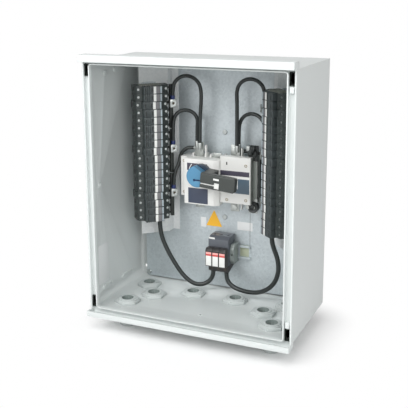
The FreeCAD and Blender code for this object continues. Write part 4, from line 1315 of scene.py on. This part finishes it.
cover_screws = []
for x, z, face in (
    (73.9, 391.8, COVER_FACE),
    (74.6, 307.9, COVER_FACE),
    (26.1, 305.4, COVER_FACE),
    (-89.0, 390.0, EAR_FACE),
    (-89.0, 312.0, EAR_FACE),
):
    screw = facing_front(cross_screw("cover_screw", 3.8, -2.0, 0.6, (x, z)), face)
    paint(screw, COVER_SCREW)
    cover_screws.append(screw)
done(joined("cover_screws", cover_screws), "box", "tin")
print(len(cover_screws), "cover screws")

# %% [markdown]
# ## The handle's details
# The blue cap is cut off straight at its upper right. A boolean would do it, and bisect does it in one
# step without a cutter. The cap's key slot and the collar behind the cap lie in shade, and both shades
# are painted: a deeper blue in the slot and a navy on the collar, on faces of the moulding chosen by
# where they lie. A white marker lies on the grip, and a white lock slide sits in its slot and window, so
# they turn with the handle.

# %% Handle details
HANDLE_TILT = math.radians(5.5)
CAP_CUT = (HUB[0] + 9.6, 17.1, HUB[1] + 15.4)
CAP_CUT_NORMAL = (0.53, 0.0, 0.848)
COLLAR_RADIUS = 26.6
COLLAR_FRONT = 35.2
KEY_SLOT_LOW = (-43.0, 17.3, 354.5)
KEY_SLOT_HIGH = (-9.0, 20.6, 361.5)


def tilted(piece):
    """Turns a piece on the grip as far as the grip itself is turned."""
    hub_centre = Matrix.Translation(metres(HUB[0], 0, HUB[1]))
    piece.data.transform(hub_centre @ Matrix.Rotation(HANDLE_TILT, 4, "Y") @ hub_centre.inverted())
    return piece


def cut_straight(piece, place, normal, clear=False):
    """Cuts a piece along a plane. With clear, what lies beyond it goes."""
    edit_all(piece)
    bpy.ops.mesh.bisect(plane_co=metres(*place), plane_no=normal, use_fill=clear, clear_outer=clear)
    leave_edit()
    smooth(piece)


def shade_by_place(piece, first, second, test):
    """Gives the faces that pass the test a second material, which in this script is always painted shade.
    The test gets millimetres.
    """
    paint(piece, first, second)
    count = 0
    for polygon in piece.data.polygons:
        if test(polygon.center / MM):
            polygon.material_index = 1
            count += 1
    print(piece.name, count, "faces in", second.name)


def in_key_slot(c):
    return all(low < value < high for low, value, high in zip(KEY_SLOT_LOW, c, KEY_SLOT_HIGH))


def on_collar(c):
    return c.y > COLLAR_FRONT and math.hypot(c.x - HUB[0], c.z - HUB[1]) < COLLAR_RADIUS


cap = soft_pieces["isolator_hub"]
cut_straight(cap, CAP_CUT, CAP_CUT_NORMAL, clear=True)
# The key slot's faces are painted deep blue as its shade.
shade_by_place(cap, HUB_BLUE, KEYHOLE_SHADE, in_key_slot)
# The collar behind the cap is painted navy as the shade on it.
shade_by_place(soft_pieces["isolator_handle"], HANDLE, NAVY_COLLAR_SHADE, on_collar)

marker = tilted(block("handle_marker", (17.0, 0.45, 371.7), (31.0, 0.8, 376.0), 0.12))
paint(marker, WHITE)
done(marker, "handle", "isolator")
tongue = block("tongue", (-15.0, 3.0, 356.4), (18.8, 9.0, 359.6), 0.3)
plate = block("plate", (18.5, 3.6, 350.5), (31.5, 9.0, 365.0), 0.4)
slide = tilted(joined("lock_slide", [tongue, plate]))
paint(slide, SLIDE)
done(slide, "handle", "isolator")
print("marker", extent(marker), "slide", extent(slide))

# %% [markdown]
# ## Painted side shade and the lug pads
# At the switch's right the pole's side and its front edge lie in shade, and that shade is painted as thin
# grey films, bent round its front. Round rubber pads hold the link's lugs above and below, and the lower
# one is open in front, so its bolt shows. The films could be bent from one plate. Two soft-edged plates
# that meet at the corner look the same at this size and stay easy to move. A pad is a disc whose front is
# inset and sunk.

# %% Painted side shade and lug pads
LOWER_LUG = (88.0, 288.5)
LOWER_PAD_FRONT = 74.6

# Grey films painted on the pole's side and front as their shade.
shaded_side = block("shaded_side", (85.9, 65.8, 298.5), (86.35, 82.5, 409.5), 0.1)
shaded_front = block("shaded_front", (86.2, 82.1, 308.4), (95.9, 82.7, 399.6), 0.15)
side_shade = joined("painted_side_shade", [shaded_side, shaded_front])
paint(side_shade, SIDE_SHADE)
done(side_shade, "box", "isolator")


def forward_face(centre, normal):
    return normal.y < -0.9


def lug_pad(name, x, z, radius, front, back, hole):
    """A round rubber pad about the link's lug, open in front for its bolt."""
    pad = cylinder(name, 32, radius, back - front, (x, (front + back) / 2, z))
    paint(pad, BOOT)
    sink_face(pad, forward_face, radius - hole, 3.0, 0)
    round_edges(pad, 0.8, 3, 50.0)
    smooth(pad, 40.0)
    return pad


upper_cap = block("upper_cap", (72.6, 82.3, 401.2), (97.2, 90.2, 438.0), 1.5, 3)
paint(upper_cap, BOOT)
upper_pad = lug_pad("upper_pad", 84.4, 420.0, 11.0, 78.2, 86.0, 8.0)
lower_pad = lug_pad("lower_pad", *LOWER_LUG, 13.0, LOWER_PAD_FRONT, 89.5, 7.4)
done(joined("lug_pads", [upper_cap, upper_pad, lower_pad]), "box", "cable")
lower_bolt = facing_front(cross_screw("lower_bolt", 5.2, -3.0, -0.9, LOWER_LUG), LOWER_PAD_FRONT)
paint(lower_bolt, TERMINAL)
done(lower_bolt, "box", "tin")
print("guard, pads and bolt done")

# %% [markdown]
# ## The surge arrester's faces
# Each plug shows a white field with a red stripe and a pink one above it. They are the same thin films as
# on the switch. They ride on their plug, so they come out with it when the plug is pulled. The base below
# the plugs lies in their shade, and that shade is painted: bisect cuts the base's faces at a line, and
# the lower ones get the plugs' dark finish. Three screws clamp the cables.

# %% Arrester faces
PLUG_FACE = 49.5
PLUG_PITCH = 17.5
PLUGS_LEFT = -24.25
FILM_INSET = 1.4
FILM_WIDTH = 14.4
BASE_SHADE_LINE = 134.6
BASE_FACE = 69.5
FIRST_SCREW = (-15.65, 125.5)

for number in (1, 2, 3):
    x0 = PLUGS_LEFT + PLUG_PITCH * (number - 1) + FILM_INSET
    x1 = x0 + FILM_WIDTH
    films = [
        film("white", PLUG_FACE, x0, x1, 137.5, 162.4, WHITE, 0.3),
        film("red", PLUG_FACE, x0, x1, 162.6, 166.9, RED, 0.3),
        film("pink", PLUG_FACE, x0, x1, 167.1, 171.8, PINK, 0.3),
    ]
    done(joined("plug_face_%d" % number, films), "arrester_plug_%d" % number, "arrester")

base = soft_pieces["arrester_base"]
# Below this line the base is painted dark as the shade under the plugs.
cut_straight(base, (0, 0, BASE_SHADE_LINE), (0, 0, 1))
shade_by_place(base, ARRESTER, PLUG_AND_BASE_SHADE, lambda c: c.z < BASE_SHADE_LINE)
terminals = []
for number in (0, 1, 2):
    place = (FIRST_SCREW[0] + PLUG_PITCH * number, FIRST_SCREW[1])
    terminals.append(facing_front(cross_screw("terminal", 3.1, -2.0, 0.3, place), BASE_FACE))
arrester_screws = joined("arrester_screws", terminals)
paint(arrester_screws, BRONZE)
done(arrester_screws, "box", "tin")
field("arrester_field", BASE_FACE, -22.8, -7.3, 199.6, 203.8, WHITE, slot="arrester")
print("arrester faces on")

# %% [markdown]
# ## Plain signs on the plate
# The plate carries an amber triangle, two white films, a pale green one at the
# arrester's rail and a dark seam, all left plain. A triangle could be drawn as
# three points and one face. A three-sided cylinder gives it a thickness as
# well, and then its upright edges are beveled into round corners and its middle
# is sunk a little.

# %% Plate signs
PLATE_FACE = 117.5
SIGN_WIDTH = 43.0
SIGN_HEIGHT = 42.0
SIGN_THICK = 0.6
SIGN_MIDDLE = -29.0
SIGN_FOOT = 217.0


def amber_sign():
    """A triangle that points up, scaled to its size and set on the plate."""
    sign = cylinder("amber_sign", 3, 1000.0, 1000.0, (0, 0, 0))
    width, thick, height = sign.dimensions
    wanted = metres(SIGN_WIDTH / width, SIGN_THICK / thick, SIGN_HEIGHT / height)
    sign.data.transform(Matrix.Diagonal((*wanted, 1)))
    low = min(v.co.z for v in sign.data.vertices)
    move = Vector(metres(SIGN_MIDDLE, PLATE_FACE - 0.2, SIGN_FOOT)) - Vector((0, 0, low))
    sign.data.transform(Matrix.Translation(move))
    only(sign)
    bpy.ops.object.mode_set(mode="EDIT")
    bpy.ops.mesh.select_mode(type="EDGE")
    bpy.ops.mesh.select_all(action="DESELECT")
    leave_edit()
    for edge in sign.data.edges:
        a, b = (sign.data.vertices[i].co for i in edge.vertices)
        edge.select = abs((a - b).y) > SIGN_THICK / 2 * MM
    bpy.ops.object.mode_set(mode="EDIT")
    bpy.ops.mesh.bevel(offset=2.0 * MM, segments=4, affect="EDGES")
    leave_edit()
    paint(sign, AMBER)
    sink_face(sign, forward_face, 2.2, 0.15, 0)
    smooth(sign)
    return done(sign, "box", "zinc")


print("sign", extent(amber_sign()))
field("sticker_right", PLATE_FACE, 33.1, 73.0, 215.0, 236.6, STICKER, slot="zinc", proud=0.15)
field("sticker_left", PLATE_FACE, -65.5, -50.5, 212.0, 237.3, STICKER, slot="zinc", proud=0.15)
field("rail_sticker", PLATE_FACE - 1.0, 41.5, 64.5, 147.0, 177.5, RAIL_LABEL, slot="zinc", proud=0.15)
field("plate_seam", PLATE_FACE, 66.1, 66.9, 147.2, 269.0, DARK_AND_SHADE, slot="zinc", proud=0.2)

# %% [markdown]
# ## Hinge pockets
# In each corner of the gutter round the opening sits a pocket, which a door's hinge grips. Its depth lies
# in shade, and that shade is painted: a dark patch alone would look flat from the side, so a pocket is a
# block in a dark painted shade whose front is inset and sunk.

# %% Hinge pockets
POCKET_SIDES = (233.6, 245.6)
POCKET_HEIGHTS = ((58.7, 86.3), (610.7, 638.3))

pockets = []
for side in (-1, 1):
    for z0, z1 in POCKET_HEIGHTS:
        x0, x1 = sorted(side * x for x in POCKET_SIDES)
        pocket = block("pocket", (x0, -119.0, z0), (x1, -113.5, z1), 0.3)
        # The pocket's dark colour is painted shade.
        paint(pocket, POCKET_SHADE)
        sink_face(pocket, forward_face, 0.8, 2.5, 0)
        pockets.append(pocket)
done(joined("hinge_pockets", pockets), "box", "grp")
print(len(pockets), "hinge pockets")

# %% [markdown]
# ## Gland bores, a wall film and a boss
# Each gland's bore goes down to a rubber seal. Light alone would darken it, but in this soft studio light
# it stays pale, so its shade is painted: the faces in the bore get a darker grey by where they lie. A
# blank film lies on the left wall. In the middle of the floor stands a low round boss with a blind hole,
# as moulded cases have for a fitting's screw: a short cylinder whose top is inset and sunk, with the same
# painted shade in the hole.

# %% Bores, wall film and floor boss
BORE_RADIUS = 14.3
BORE_LOW = 40.0
RIGHT_GLANDS = ((184.0, -57.0), (143.0, 2.0), (184.0, 59.0), (56.0, 47.0))
GLANDS = [(x * side, y) for side in (-1, 1) for x, y in RIGHT_GLANDS]


def in_a_bore(c):
    return c.z > BORE_LOW and any(math.hypot(c.x - x, c.y - y) < BORE_RADIUS for x, y in GLANDS)


# Faces deep in the bores are painted darker as their shade.
shade_by_place(soft_pieces["gland_bodies"], GLAND, BORE_SHADE, in_a_bore)

wall_film = block("wall_film", (-246.1, -90.0, 98.0), (-245.8, -36.0, 196.0), 0.1)
paint(wall_film, WALL_FILM)
done(wall_film, "box", "grp")


def floor_boss():
    """A low round boss with a blind hole, moulded on the floor."""
    boss = cylinder("floor_boss", 28, 6.0, 1.6, (11.0, -62.0, 57.6), upright=True)
    # The blind hole's sunk faces get the painted bore shade.
    paint(boss, GRP, BORE_SHADE)
    sink_face(boss, lambda centre, normal: normal.z > 0.9, 3.6, 1.0)
    round_edges(boss, 0.4, 2, 50.0)
    smooth(boss, 40.0)
    return done(boss, "box", "grp")


print("boss", extent(floor_boss()))

# %% [markdown]
# ## Finish

# %% Finish
deselect()
